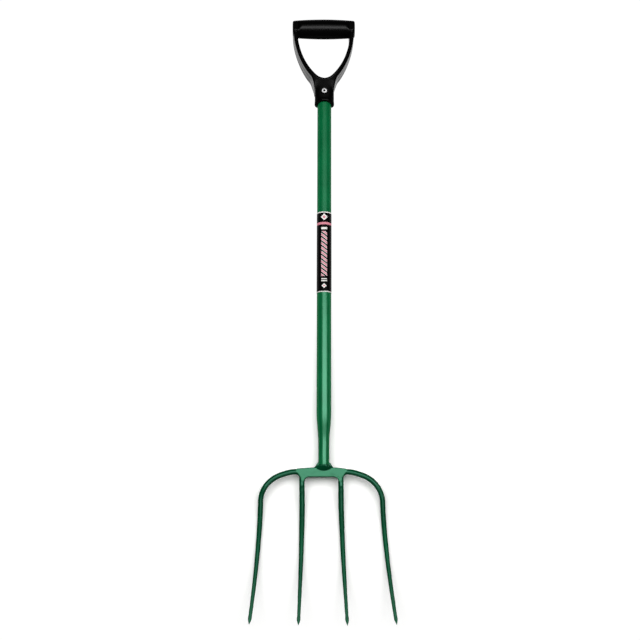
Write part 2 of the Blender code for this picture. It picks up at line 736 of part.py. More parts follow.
def wing_mesh(side):
    """Shoulder beside the shaft's end, sweeping from the neck down to the crown's top edge."""
    near = NECK_RADIUS + CLEARANCE
    foot = mix(CROWN_TOP_Y, CROWN_LOW_Y, 0.25)
    above_weld = WELD_RISE + 2 * CLEARANCE
    sweep = (
        Vector((near, WING_RISE, 0)),
        Vector((WING_START + 0.0014, WING_RISE - 0.0006, 0)),
        Vector((WING_START + 0.0018, CROWN_TOP_Y + 0.0024, 0)),
        Vector((WING_REACH, CROWN_TOP_Y - 0.0006, 0)),
    )
    steps = 6
    outline = []
    for i in range(steps + 1):
        point = bezier(sweep, i / steps)
        outline.append((side * point.x, point.y))
    outline += [(side * WING_REACH, foot), (side * WING_START, foot)]
    outline += [(side * WING_START, above_weld), (side * near, above_weld)]
    return extrude_outline(outline, -WING_HALF_THICKNESS, WING_HALF_THICKNESS)


def build_crown(fork):
    """Forged crown: web, dressed face, the starts of the four bars, shoulders and tang."""
    crown = add_object("crown", crown_web_mesh(), GREEN_PAINT, fork)
    round_edges(crown, WEB_EDGE_ROUND, 3)
    face = add_guide("join_crown_face", crown_face_mesh(), GREEN_PAINT, fork)
    round_edges(face, CROWN_EDGE_ROUND)
    combine(crown, face, "UNION")
    for side, word in ((-1, "left"), (1, "right")):
        combine(crown, add_guide(f"join_inner_stub_{word}", inner_stub_mesh(side), GREEN_PAINT, fork), "UNION")
        combine(crown, add_guide(f"join_outer_stub_{word}", outer_stub_mesh(side), GREEN_PAINT, fork), "UNION")
        combine(crown, add_guide(f"join_wing_{word}", wing_mesh(side), GREEN_PAINT, fork), "UNION")
    combine(crown, add_guide("join_tang", tang_mesh(), GREEN_PAINT, fork), "UNION")
    reach = WELD_HALF_WIDTH + WING_REACH
    for side, word in ((-1, "back"), (1, "front")):
        seat = add_guide(f"cut_weld_seat_{word}", weld_bead_mesh(CLEARANCE), GREEN_PAINT, fork)
        heights = sorted((side * WELD_SEAT, side * reach))
        room = box_mesh((-reach, -reach, heights[0]), (reach, CROWN_TOP_Y + CLEARANCE, heights[1]))
        combine(seat, add_guide(f"keep_weld_seat_{word}", room, GREEN_PAINT, fork), "INTERSECT")
        combine(crown, seat, "DIFFERENCE")
    return crown


def box_mesh(low, high):
    """A plain box between two corners."""
    outline = [(low[0], low[1]), (high[0], low[1]), (high[0], high[1]), (low[0], high[1])]
    return extrude_outline(outline, low[2], high[2])


def weld_bead_mesh(extra=0.0):
    """The bead round the shaft's end, in one piece, and larger by the extra all round."""
    top = NECK_RADIUS + CLEARANCE
    face = CROWN_HALF_THICKNESS + CLEARANCE
    stages = (
        (0.00, top + 0.0004, top + 0.0006),
        (0.10, top + 0.6 * WELD_LEG, top + 0.9 * WELD_LEG),
        (0.28, top + 0.7 * WELD_LEG, mix(top, WELD_HALF_WIDTH, 0.65)),
        (0.46, mix(face, top, 0.95), WELD_HALF_WIDTH),
        (0.66, mix(face, top, 0.70), WELD_HALF_WIDTH * 0.98),
        (0.84, mix(face, top, 0.33), WELD_HALF_WIDTH * 0.80),
        (1.00, WELD_SEAT, WELD_HALF_WIDTH * 0.42),
    )
    rings = []
    for share, depth, width in stages:
        y = mix(WELD_RISE, -WELD_FALL - extra, share)
        rings.append(ring_across(y, width + extra, depth + extra, WELD_SIDES))
    return loft(rings)


def build_weld(fork):
    """Fillet weld in front of and behind the crown, round the shaft's lower end."""
    weld = add_object("neck_weld", weld_bead_mesh(), GREEN_PAINT, fork)
    top = NECK_RADIUS + CLEARANCE
    root = WELD_SEAT + CLEARANCE
    reach = WELD_HALF_WIDTH + WING_REACH
    cuts = {
        "cut_weld_shaft": loft([ring_across(y, top, top, SHAFT_SIDES) for y in (-CLEARANCE, NECK_LENGTH)]),
        "cut_weld_tang": loft(
            [ring_across(y, NECK_BORE, NECK_BORE, WELD_SIDES) for y in (CROWN_TOP_Y + CLEARANCE, NECK_LENGTH)]
        ),
        "cut_weld_crown": box_mesh((-reach, -reach, -root), (reach, CROWN_TOP_Y + CLEARANCE, root)),
    }
    wing_low = (WING_START - CLEARANCE, -reach, -WING_HALF_THICKNESS - CLEARANCE)
    wing_high = (reach, NECK_LENGTH, WING_HALF_THICKNESS + CLEARANCE)
    cuts["cut_weld_wing_right"] = box_mesh(wing_low, wing_high)
    cuts["cut_weld_wing_left"] = box_mesh((-reach, *wing_low[1:]), (-wing_low[0], *wing_high[1:]))
    for name, bm in cuts.items():
        combine(weld, add_guide(name, bm, GREEN_PAINT, fork), "DIFFERENCE")
    return weld


def set_on_origin(fork):
    """Move the fork so that it stands on Z = 0 with the origin under the middle of it."""
    bpy.context.view_layer.update()
    graph = bpy.context.evaluated_depsgraph_get()
    corners = []
    for obj in fork.children:
        if not obj.hide_render:
            shape = obj.evaluated_get(graph)
            corners += [shape.matrix_world @ vertex.co for vertex in shape.data.vertices]
    low = [min(corner[axis] for corner in corners) for axis in range(3)]
    high = [max(corner[axis] for corner in corners) for axis in range(3)]
    fork.location = (-(low[0] + high[0]) / 2, -(low[1] + high[1]) / 2, -low[2])
    bpy.context.view_layer.update()


def main():
    """Build the fork."""
    clear_scene()
    fork = bpy.data.objects.new("fork", None)
    bpy.context.scene.collection.objects.link(fork)
    build_shaft(fork)
    build_label(fork)
    build_handle(fork)
    build_rivet(fork)
    build_crown(fork)
    build_tines(fork)
    build_weld(fork)
    set_on_origin(fork)


main()
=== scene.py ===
"""Looks of a long handled manure fork that lies on its back on a pale floor.

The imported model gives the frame: X runs across the tines, the shaft lies along Y with the handle at +Y,
and +Z is up, out of the fork's front. Every length is in metres. The pieces here are drawn in fork
coordinates, in which Y is counted from the shaft's lower end and X and Z from its axis, and are then moved
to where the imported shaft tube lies.
"""

import logging
import math
from dataclasses import dataclass
from enum import Enum
from typing import Callable, Sequence

import bmesh
import bpy
import numpy as np
from mathutils import Matrix, Vector, noise


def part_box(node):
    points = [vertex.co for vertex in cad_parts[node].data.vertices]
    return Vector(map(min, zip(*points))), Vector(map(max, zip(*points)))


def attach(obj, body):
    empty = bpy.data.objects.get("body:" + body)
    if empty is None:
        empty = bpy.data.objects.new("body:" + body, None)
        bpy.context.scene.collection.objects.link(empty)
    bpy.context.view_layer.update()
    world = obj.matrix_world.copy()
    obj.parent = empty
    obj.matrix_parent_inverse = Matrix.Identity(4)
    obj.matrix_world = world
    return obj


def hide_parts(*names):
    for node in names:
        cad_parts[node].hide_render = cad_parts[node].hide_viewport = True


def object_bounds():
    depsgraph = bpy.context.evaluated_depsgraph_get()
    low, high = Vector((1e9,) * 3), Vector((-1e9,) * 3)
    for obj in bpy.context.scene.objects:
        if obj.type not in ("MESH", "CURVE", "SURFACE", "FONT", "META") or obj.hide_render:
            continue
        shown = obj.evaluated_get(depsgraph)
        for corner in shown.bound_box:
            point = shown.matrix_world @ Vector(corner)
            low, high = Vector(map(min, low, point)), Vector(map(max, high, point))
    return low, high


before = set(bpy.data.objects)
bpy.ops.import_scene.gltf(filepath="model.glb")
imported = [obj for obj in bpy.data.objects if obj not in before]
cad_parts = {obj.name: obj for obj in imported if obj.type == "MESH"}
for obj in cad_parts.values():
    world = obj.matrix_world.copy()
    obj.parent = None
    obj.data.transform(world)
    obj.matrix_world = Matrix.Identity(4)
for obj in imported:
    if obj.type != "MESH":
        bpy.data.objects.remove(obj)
CAD_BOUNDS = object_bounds()
BODY = "root"
# Mask of the dressed flat, where the head's paint puts its painted highlight.
FACE_HIGHLIGHT = "face_highlight_mask"
POLISHED = "polished_wall"
DULLED = "dulled_fork"
FLAT_FILM = "flat_film"
MM = 0.001
PLATE_RIM_STEPS = 4
SHARPEST_CORNER = 0.35
NO_LENGTH = 1e-9
POLYPROPYLENE_IOR = 1.49
X_AXIS = Vector((1, 0, 0))
Y_AXIS = Vector((0, 1, 0))
Z_AXIS = Vector((0, 0, 1))
LOG = logging.getLogger("manure_fork")

# A run is the centres and radii along a bar, and an outline is places in X and Y, or radii with heights.
Ring = list[Vector]
Run = list[tuple[Vector, float]]
Outline = list[tuple[float, float]]
Colour = tuple[float, float, float, float]
Inputs = dict[str | int, object]


def to_linear(hex_code: str) -> Colour:
    """Turn an sRGB hex colour into the linear values that the shaders take.

    Args:
        hex_code: six hex digits with a leading hash sign.

    Returns:
        Linear red, green and blue, with an alpha of 1.
    """
    values = []
    for start in (1, 3, 5):
        channel = int(hex_code[start : start + 2], 16) / 255
        values.append(channel / 12.92 if channel <= 0.04045 else ((channel + 0.055) / 1.055) ** 2.4)
    return (values[0], values[1], values[2], 1.0)


def feed(node: bpy.types.Node, inputs: Inputs) -> None:
    """Give a node its values and links.

    Args:
        node: a node of a material or a world.
        inputs: for each input, by name or number, a value, a socket, or a node for its first output.
    """
    for name, value in inputs.items():
        source = value.outputs[0] if isinstance(value, bpy.types.Node) else value
        if isinstance(source, bpy.types.NodeSocket):
            node.id_data.links.new(source, node.inputs[name])
        else:
            node.inputs[name].default_value = source


def add_node(
    tree: bpy.types.NodeTree, kind: str, inputs: Inputs | None = None, **settings: str
) -> bpy.types.Node:
    """Add one node to a tree, with its settings, its values and its links.

    Args:
        tree: the node tree of a material or a world.
        kind: the node's type name, after "ShaderNode".
        inputs: what its inputs are fed with.
        settings: properties of the node itself.

    Returns:
        The new node.
    """
    node = tree.nodes.new("ShaderNode" + kind)
    for name, value in settings.items():
        setattr(node, name, value)
    feed(node, inputs or {})
    return node


def mix(a: float, b: float, t: float) -> float:
    """The value that lies t of the way from a to b."""
    return a + (b - a) * t


def smoothstep(t: float) -> float:
    """A soft step from 0 to 1."""
    t = min(1.0, max(0.0, t))
    return t * t * (3 - 2 * t)


def spread(a: float, b: float, count: int) -> list[float]:
    """Values at equal steps from a to b, both of them included."""
    return [mix(a, b, i / count) for i in range(count + 1)]


def turn_angles(count: int) -> list[float]:
    """Equal angles round a full turn."""
    return [2 * math.pi * i / count for i in range(count)]


def oval(angle: float, half_width: float, half_depth: float, power: float = 2.0) -> tuple[float, float]:
    """A point on a rounded outline.

    Args:
        angle: where on the outline, from its side at 0.
        half_width: half of its width.
        half_depth: half of its depth.
        power: 2 is an ellipse, more is squarer and less is a diamond.

    Returns:
        The point, across and up.
    """
    across, up = math.cos(angle), math.sin(angle)
    x = math.copysign(abs(across) ** (2 / power), across) * half_width
    z = math.copysign(abs(up) ** (2 / power), up) * half_depth
    return x, z


def oval_ring(
    centre: Vector, axes: tuple[Vector, Vector], halves: tuple[float, float], count: int, power: float = 2.0
) -> Ring:
    """A rounded ring of points.

    Args:
        centre: its middle.
        axes: the ways that its width and its depth run.
        halves: half of its width and of its depth.
        count: how many points it has.
        power: its squareness, as in oval.

    Returns:
        The ring.
    """
    places = [oval(angle, *halves, power) for angle in turn_angles(count)]
    return [centre + axes[0] * across + axes[1] * up for across, up in places]


def ring_across(y: float, half_width: float, half_depth: float, count: int, power: float = 2.0) -> Ring:
    """A ring of points round the shaft's axis, square to it."""
    return oval_ring(Y_AXIS * y, (X_AXIS, Z_AXIS), (half_width, half_depth), count, power)


def rounding(radius: float, steps: int) -> Outline:
    """Round a rim by a quarter turn.

    Args:
        radius: the rounding's radius.
        steps: how many steps it has.

    Returns:
        How far each point lies in from the side and on from the end, from the end to the side.
    """
    angles = spread(0, math.pi / 2, steps)
    return [(radius * (1 - math.sin(angle)), radius * (1 - math.cos(angle))) for angle in angles]


def ramp(values: np.ndarray, start: float, run: float) -> np.ndarray:
    """Rise evenly from 0 to 1.

    Args:
        values: what the rise goes by.
        start: the value at which it starts.
        run: how far on it is over, which is less than 0 for a rise towards lower values.

    Returns:
        The height of the rise for each value.
    """
    return np.clip((values - start) / run, 0, 1)


def bezier(points: Sequence[Vector], t: float) -> Vector:
    """A point on a cubic curve.

    Args:
        points: its four control points.
        t: how far along it, from 0 to 1.

    Returns:
        The point.
    """
    a, b, c, d = points
    s = 1 - t
    return a * s**3 + b * 3 * s * s * t + c * 3 * s * t * t + d * t**3


class Shell:
    """A mesh under construction, made of closed skins that may run into each other."""

    def __init__(self) -> None:
        """Start with no faces."""
        self.bm = bmesh.new()

    def loft(self, rings: Sequence[Ring], closed: bool = False) -> None:
        """Add a closed skin through rings of equal count.

        Args:
            rings: the rings, in order.
            closed: whether the last ring joins the first, instead of both being capped.
        """
        rows = [[self.bm.verts.new(point) for point in ring] for ring in rings]
        pairs = list(zip(rows, rows[1:]))
        if closed:
            pairs.append((rows[-1], rows[0]))
        for low, high in pairs:
            for i in range(len(low)):
                j = (i + 1) % len(low)
                self.bm.faces.new((low[i], low[j], high[j], high[i]))
        if not closed:
            self.bm.faces.new(reversed(rows[0]))
            self.bm.faces.new(rows[-1])

    def plate(self, outline: Outline, half_thickness: float, edge: float) -> None:
        """Add a flat plate about Z = 0 with rounded rims.

        Args:
            outline: the plate's outline in X and Y.
            half_thickness: half of its thickness.
            edge: radius of the rounding along both rims.
        """
        rim = rounding(edge, PLATE_RIM_STEPS)
        levels = [(inset, rise - half_thickness) for inset, rise in rim]
        levels += [(inset, half_thickness - rise) for inset, rise in reversed(rim)]
        corners = range(len(outline))
        self.loft([[self._inset(outline, k, inset, z) for k in corners] for inset, z in levels])

    @staticmethod
    def _inset(outline: Outline, k: int, inset: float, z: float) -> Vector:
        """Move a corner of an anticlockwise outline inwards, along the bisector of its two edges.

        Args:
            outline: the outline in X and Y.
            k: the corner's number.
            inset: how far each of its edges moves.
            z: the height of the moved corner.

        Returns:
            The moved corner.
        """
        before, here, after = [Vector(outline[i % len(outline)]) for i in (k - 1, k, k + 1)]
        first = (here - before).normalized()
        second = (after - here).normalized()
        inward = Vector((-first.y - second.y, first.x + second.x))
        if inward.length > NO_LENGTH:
            inward.normalize()
        share = max(SHARPEST_CORNER, inward.dot(Vector((-first.y, first.x))))
        moved = here + inward * (inset / share)
        return Vector((moved.x, moved.y, z))

    def finish(self, name: str, offset: Vector) -> bpy.types.Object:
        """Make an object of the mesh and set it in its place.

        Args:
            name: the piece's name.
            offset: where fork coordinates have their origin in the frame.

        Returns:
            The new object, linked to the scene, with its place in its mesh.
        """
        bmesh.ops.recalc_face_normals(self.bm, faces=self.bm.faces)
        bmesh.ops.translate(self.bm, verts=self.bm.verts, vec=offset)
        mesh = bpy.data.meshes.new(name)
        self.bm.to_mesh(mesh)
        self.bm.free()
        mesh.shade_smooth()
        obj = bpy.data.objects.new(name, mesh)
        bpy.context.scene.collection.objects.link(obj)
        return obj


def bake(obj: bpy.types.Object) -> None:
    """Put what an object's modifiers make into its mesh, and take the modifiers off.

    Args:
        obj: the object.
    """
    graph = bpy.context.evaluated_depsgraph_get()
    graph.update()
    made = bpy.data.meshes.new_from_object(obj.evaluated_get(graph))
    old = obj.data
    obj.modifiers.clear()
    made.name = old.name
    obj.data = made
    bpy.data.meshes.remove(old)
    made.shade_smooth()


def weld_skins(obj: bpy.types.Object, grain: float, softening: int) -> None:
    """Run all skins of an object together into one, with soft fillets where they meet.

    Args:
        obj: an object made of closed skins that run into each other.
        grain: the size of the new mesh's squares.
        softening: how many times the new mesh is relaxed.
    """
    remesh = obj.modifiers.new("one_skin", "REMESH")
    remesh.mode = "VOXEL"
    remesh.voxel_size = grain
    remesh.use_smooth_shade = True
    soften = obj.modifiers.new("soft_fillets", "SMOOTH")
    soften.factor = 0.5
    soften.iterations = softening
    bake(obj)


def relax(obj: bpy.types.Object, share: Callable[[np.ndarray], np.ndarray], rounds: int) -> None:
    """Blend part of a surface by drawing each point towards its neighbours.

    Args:
        obj: the object.
        share: gives, from 0 to 1, how much each point takes part.
        rounds: how many times the points move.
    """
    mesh = obj.data
    points, _ = read_points(obj)
    edges = np.empty(len(mesh.edges) * 2, dtype=np.int64)
    mesh.edges.foreach_get("vertices", edges)
    first, second = edges.reshape(-1, 2).T
    weight = share(points)[:, None]
    count = np.bincount(np.concatenate([first, second]), minlength=len(points))[:, None]
    for _ in range(rounds):
        total = np.zeros_like(points)
        for axis in range(3):
            total[:, axis] = np.bincount(first, points[second, axis], len(points))
            total[:, axis] += np.bincount(second, points[first, axis], len(points))
        points += 0.5 * weight * (total / np.maximum(count, 1) - points)
    mesh.vertices.foreach_set("co", points.reshape(-1))
    mesh.update()


def read_points(obj: bpy.types.Object) -> tuple[np.ndarray, np.ndarray]:
    """Read an object's points and their normals, one row each.

    Args:
        obj: the object.

    Returns:
        The points, and the normals.
    """
    points = np.empty(len(obj.data.vertices) * 3)
    normals = np.empty(len(obj.data.vertices) * 3)
    obj.data.vertices.foreach_get("co", points)
    obj.data.vertex_normals.foreach_get("vector", normals)
    return points.reshape(-1, 3), normals.reshape(-1, 3)


def move_points(obj: bpy.types.Object, shift: Callable[[np.ndarray, np.ndarray], np.ndarray]) -> None:
    """Move an object's points, as a sculptor would.

    Args:
        obj: the object.
        shift: takes the points and their normals, and gives how far each point moves.
    """
    points, normals = read_points(obj)
    points = points + shift(points, normals)
    obj.data.vertices.foreach_set("co", points.reshape(-1))
    obj.data.update()


def uneven(points: np.ndarray, wave: float, height: float, seed: float) -> np.ndarray:
    """Slow unevenness of a surface.

    Args:
        points: places in metres.
        wave: how far apart the bumps are.
        height: how high they are.
        seed: sets one pattern apart from another.

    Returns:
        A height for each place.
    """
    values = [noise.noise(Vector(point) / wave + Vector((seed, 0, 0))) for point in points]
    return height * np.array(values)


def note(obj: bpy.types.Object, name: str, values: np.ndarray) -> None:
    """Note a value from 0 to 1 at each point of an object, for its material to read.

    Args:
        obj: the object.
        name: the note's name.
        values: one value for each point.
    """
    layer = obj.data.attributes.new(name, "FLOAT", "POINT")
    layer.data.foreach_set("value", values.astype(np.float32))


@dataclass(frozen=True)
class Finish:
    """What every finish starts from: a named material, with patterns in real sizes."""

    name: str

    def start(self) -> tuple[bpy.types.Material, bpy.types.NodeTree, bpy.types.Node]:
        """Begin the material.

        Returns:
            The material, its node tree and its shader.
        """
        material = bpy.data.materials.new(self.name)
        material.use_nodes = True
        return material, material.node_tree, material.node_tree.nodes["Principled BSDF"]

    @staticmethod
    def relief(
        place: bpy.types.NodeSocket, wave_mm: float, height_mm: float, detail: float
    ) -> bpy.types.Node:
        """Give the surface a fine, uneven ripple.

        Args:
            place: where on the object a point lies.
            wave_mm: how far apart the ripples are.
            height_mm: how high they are.
            detail: how many finer ripples run over them.

        Returns:
            The node whose normal has the ripple.
        """
        tree = place.id_data
        wave = add_node(tree, "TexNoise", {"Vector": place, "Scale": 1 / (wave_mm * MM), "Detail": detail})
        return add_node(tree, "Bump", {"Height": wave, "Distance": height_mm * MM})


@dataclass(frozen=True)
class DippedEnamel(Finish):
    """Green stoving enamel on steel, dipped and baked: a deep gloss with a faint orange peel."""

    colour: str = "#05683a"
    shade: str = "#045c32"
    # A lighter green for the dressed flat: a painted highlight.
    face_highlight_colour: str = ""
    metallic: float = 0.12
    roughness: float = 0.22
    rim_roughness: float = 0.60
    rim_from: float = 0.35
    specular: float = 1.0
    rim_specular: float = 0.05
    sheen_from: float = 0.12
    sheen_to: float = 0.38
    tint: str = "#b8ffe6"
    dull_from: float = 0.0
    dull_run: float = 0.10
    dull_roughness: float = 0.50
    dull_share: float = 0.45
    # A lighter green towards the points, as painted light, with where it starts and over what length.
    points_light_colour: str = ""
    points_light_from: float = 0.0
    points_light_run: float = 0.07
    peel_mm: float = 2.2
    peel_height_mm: float = 0.010
    tone_mm: float = 45.0
    tone_stops: tuple[float, float] = (0.3, 0.7)

    def material(self) -> bpy.types.Material:
        """Build the paint: its tone and peel, its gloss, the painted highlight on the dressed flat, and
        duller points painted lighter.

        Returns:
            The material.
        """
        material, tree, shader = self.start()
        place = add_node(tree, "TexCoord").outputs["Object"]
        # Paint that is a little thicker in one place than another shifts slightly in tone.
        cloud = {"Vector": place, "Scale": 1 / (self.tone_mm * MM), "Detail": 3.0}
        coat = add_node(tree, "ValToRGB", {"Fac": add_node(tree, "TexNoise", cloud)})
        stops = zip(self.tone_stops, (self.shade, self.colour))
        for stop, (position, colour) in zip(coat.color_ramp.elements, stops):
            stop.position = position
            stop.color = to_linear(colour)
        # Orange peel is the fine ripple that sprayed and dipped paint dries with.
        peel = self.relief(place, self.peel_mm, self.peel_height_mm, detail=2.0)
        # Seen edge on, the peel scatters the floor's reflection and the rim stays dark.
        facing = add_node(tree, "LayerWeight", {"Blend": 0.5}).outputs["Facing"]
        rough_rim = {"From Min": self.rim_from, "To Min": self.roughness, "To Max": self.rim_roughness}
        rough = add_node(tree, "MapRange", {"Value": facing} | rough_rim)
        dark_rim = {"From Min": self.sheen_from, "From Max": self.sheen_to}
        dark_rim |= {"To Min": self.specular, "To Max": self.rim_specular}
        sheen = add_node(tree, "MapRange", {"Value": facing} | dark_rim)
        if self.face_highlight_colour:
            # The dressed flat is painted a lighter green than the bars: a painted highlight for the lamp's
            # reflection in the flat face.
            full = add_node(tree, "Attribute", attribute_name=FACE_HIGHLIGHT).outputs["Fac"]
            blend = {"Factor": full, 6: coat, 7: to_linear(self.face_highlight_colour)}
            coat = add_node(tree, "Mix", blend, data_type="RGBA").outputs[2]
        if self.points_light_colour:
            # Towards the points the coat has run thin and dries duller.
            height = add_node(tree, "SeparateXYZ", {"Vector": place}).outputs["Y"]
            thin = {"Value": height, "From Min": self.dull_from, "From Max": self.dull_from - self.dull_run}
            duller = {"To Min": self.roughness, "To Max": self.dull_roughness}
            dull = add_node(tree, "MapRange", thin | duller)
            rough = add_node(tree, "Math", {0: rough, 1: dull}, operation="MAXIMUM")
            fading = add_node(tree, "MapRange", thin | {"To Min": 1.0, "To Max": self.dull_share})
            sheen = add_node(tree, "Math", {0: sheen, 1: fading}, operation="MULTIPLY")
            # Towards the points the coat is painted lighter: painted light for the lamp that the upturned
            # points catch.
            ends = {"Value": height, "From Min": self.points_light_from, "From Max": self.points_light_from - self.points_light_run}
            blend = {"Factor": add_node(tree, "MapRange", ends), 6: coat, 7: to_linear(self.points_light_colour)}
            coat = add_node(tree, "Mix", blend, data_type="RGBA").outputs[2]
        feed(shader, {"Base Color": coat, "Metallic": self.metallic, "Roughness": rough, "Normal": peel})
        feed(shader, {"Specular IOR Level": sheen, "Specular Tint": to_linear(self.tint)})
        return material


@dataclass(frozen=True)
class MouldedPolypropylene(Finish):
    """Black polypropylene from a spark eroded mould: satin, with a fine even grain."""

    colour: str = "#030303"
    roughness: float = 0.27
    uneven_gloss: float = 0.05
    fork_roughness: float = 0.62
    specular: float = 0.20
    rim_specular: float = 0.005
    sheen_from: float = 0.06
    sheen_to: float = 0.26
    wall_specular: float = 0.45
    grain_mm: float = 0.9
    grain_height_mm: float = 0.01
    flow_mm: float = 30.0

    def material(self) -> bpy.types.Material:
        """Build the plastic: its grain, its uneven gloss and its polished walls.

        Returns:
            The material.
        """
        material, tree, shader = self.start()
        place = add_node(tree, "TexCoord").outputs["Object"]
        # The mould's grain is finer than this: it is drawn coarse enough to show in a close view.
        grain = self.relief(place, self.grain_mm, self.grain_height_mm, detail=1.0)
        # Flow of the melt leaves broad, faint differences in gloss.
        cloud = {"Vector": place, "Scale": 1 / (self.flow_mm * MM), "Detail": 2.0}
        satin = {"To Min": self.roughness - self.uneven_gloss, "To Max": self.roughness + self.uneven_gloss}
        gloss = add_node(tree, "MapRange", {"Value": add_node(tree, "TexNoise", cloud)} | satin)
        # The fork's flats cooled last, and shrank off the mould to a duller skin.
        fork = add_node(tree, "Attribute", attribute_name=DULLED).outputs["Fac"]
        rough = add_node(tree, "MapRange", {"Value": fork, "To Min": gloss, "To Max": self.fork_roughness})
        # The grain is dull seen edge on, and the walls that slid along the mould came out polished.
        facing = add_node(tree, "LayerWeight", {"Blend": 0.5}).outputs["Facing"]
        dark_rim = {"From Min": self.sheen_from, "From Max": self.sheen_to}
        dark_rim |= {"To Min": self.specular, "To Max": self.rim_specular}
        sheen = add_node(tree, "MapRange", {"Value": facing} | dark_rim)
        wall = add_node(tree, "Attribute", attribute_name=POLISHED).outputs["Fac"]
        polish = add_node(tree, "MapRange", {"Value": wall, "To Min": sheen, "To Max": self.wall_specular})
        feed(shader, {"Base Color": to_linear(self.colour), "IOR": POLYPROPYLENE_IOR, "Roughness": rough})
        feed(shader, {"Specular IOR Level": polish, "Normal": grain})
        return material


@dataclass(frozen=True)
class PlainMetal(Finish):
    """Bare metal: formed aluminium, partly matt with its oxide, or the torn end of a steel wire."""

    colour: str
    roughness: float
    metallic: float = 1.0
    scratch_mm: float = 0.6
    scratch_height_mm: float = 0.004

    def material(self) -> bpy.types.Material:
        """Build the metal, with the marks of the setting tool's nose.

        Returns:
            The material.
        """
        material, tree, shader = self.start()
        place = add_node(tree, "TexCoord").outputs["Object"]
        # The setting tool's nose leaves fine marks, which break up the highlight.
        marks = self.relief(place, self.scratch_mm, self.scratch_height_mm, detail=3.0)
        feed(shader, {"Base Color": to_linear(self.colour), "Metallic": self.metallic})
        feed(shader, {"Roughness": self.roughness, "Normal": marks})
        return material


@dataclass(frozen=True)
class PrintedFilm(Finish):
    """Polypropylene film, printed from behind: smooth, with sharp flat colours and no lettering.

    The lozenges are given by their height, and by half the size of the line's and of the accent's.
    """

    length: float
    ground: str = "#040404"
    line: str = "#dcdad6"
    accent: str = "#cd8290"
    roughness: float = 0.34
    specular: float = 0.05
    end_half: float = 0.0021
    column_half: float = 0.0058
    block_middle: float = 0.078
    block_half: float = 0.046
    slope: float = 0.8
    stroke_pitch: float = 0.0092
    stroke_middle: float = 0.31
    stroke_half: float = 0.31
    core_half: float = 0.19
    low_rules: tuple[float, float] = (0.0265, 0.0225)
    low_rule_half: float = 0.0011
    high_rule: float = 0.1300
    ring: float = 0.1404
    broad_half: float = 0.0024
    lozenges: tuple[tuple[float, float, float], ...] = ((0.1535, 0.0070, 0.0034), (0.0125, 0.0050, 0.0020))

    def material(self) -> bpy.types.Material:
        """Print the film, on a map in metres: across from the front, and up from the lower end.

        Returns:
            The material.
        """
        material, tree, shader = self.start()
        axes = add_node(tree, "SeparateXYZ", {"Vector": add_node(tree, "UVMap", uv_map=FLAT_FILM)}).outputs
        across, up = axes["X"], axes["Y"]
        slant = add_node(tree, "Math", {0: across, 1: self.slope, 2: up}, operation="MULTIPLY_ADD")
        turns = add_node(tree, "Math", {0: slant, 1: self.stroke_pitch}, operation="DIVIDE")
        step = add_node(tree, "Math", {0: turns}, operation="FRACT")
        aside = add_node(tree, "Math", {0: across}, operation="ABSOLUTE")
        # Each band is a value, its middle and its half width, and a mark is where all its bands meet.
        column = (across, 0.0, self.column_half)
        block = (up, self.block_middle, self.block_half)
        lines = [[(up, end, self.end_half)] for end in (0.0, self.length)]
        lines += [[column, (up, rule, self.low_rule_half)] for rule in self.low_rules]
        lines.append([column, (up, self.high_rule, self.broad_half)])
        lines.append([column, block, (step, self.stroke_middle, self.stroke_half)])
        accents = [[(up, self.ring, self.broad_half)]]
        accents.append([column, block, (step, self.stroke_middle, self.core_half)])
        for height, *halves in self.lozenges:
            for marks, half in zip((lines, accents), halves):
                reach = add_node(tree, "Math", {0: half, 1: aside}, operation="SUBTRACT")
                marks.append([(up, height, reach)])
        coat = to_linear(self.ground)
        for ink, marks in ((self.line, lines), (self.accent, accents)):
            printed = 0.0
            for bands in marks:
                inside = 1.0
                for value, middle, half in bands:
                    band = add_node(tree, "Math", {0: value, 1: middle, 2: half}, operation="COMPARE")
                    inside = add_node(tree, "Math", {0: inside, 1: band}, operation="MULTIPLY")
                printed = add_node(tree, "Math", {0: printed, 1: inside}, operation="MAXIMUM")
            blend = {"Factor": printed, 6: coat, 7: to_linear(ink)}
            coat = add_node(tree, "Mix", blend, data_type="RGBA").outputs[2]
        # The ink lies under clear film, so that bare ground and print share one satin skin.
        feed(shader, {"Base Color": coat, "IOR": POLYPROPYLENE_IOR})
        feed(shader, {"Roughness": self.roughness, "Specular IOR Level": self.specular})
        return material


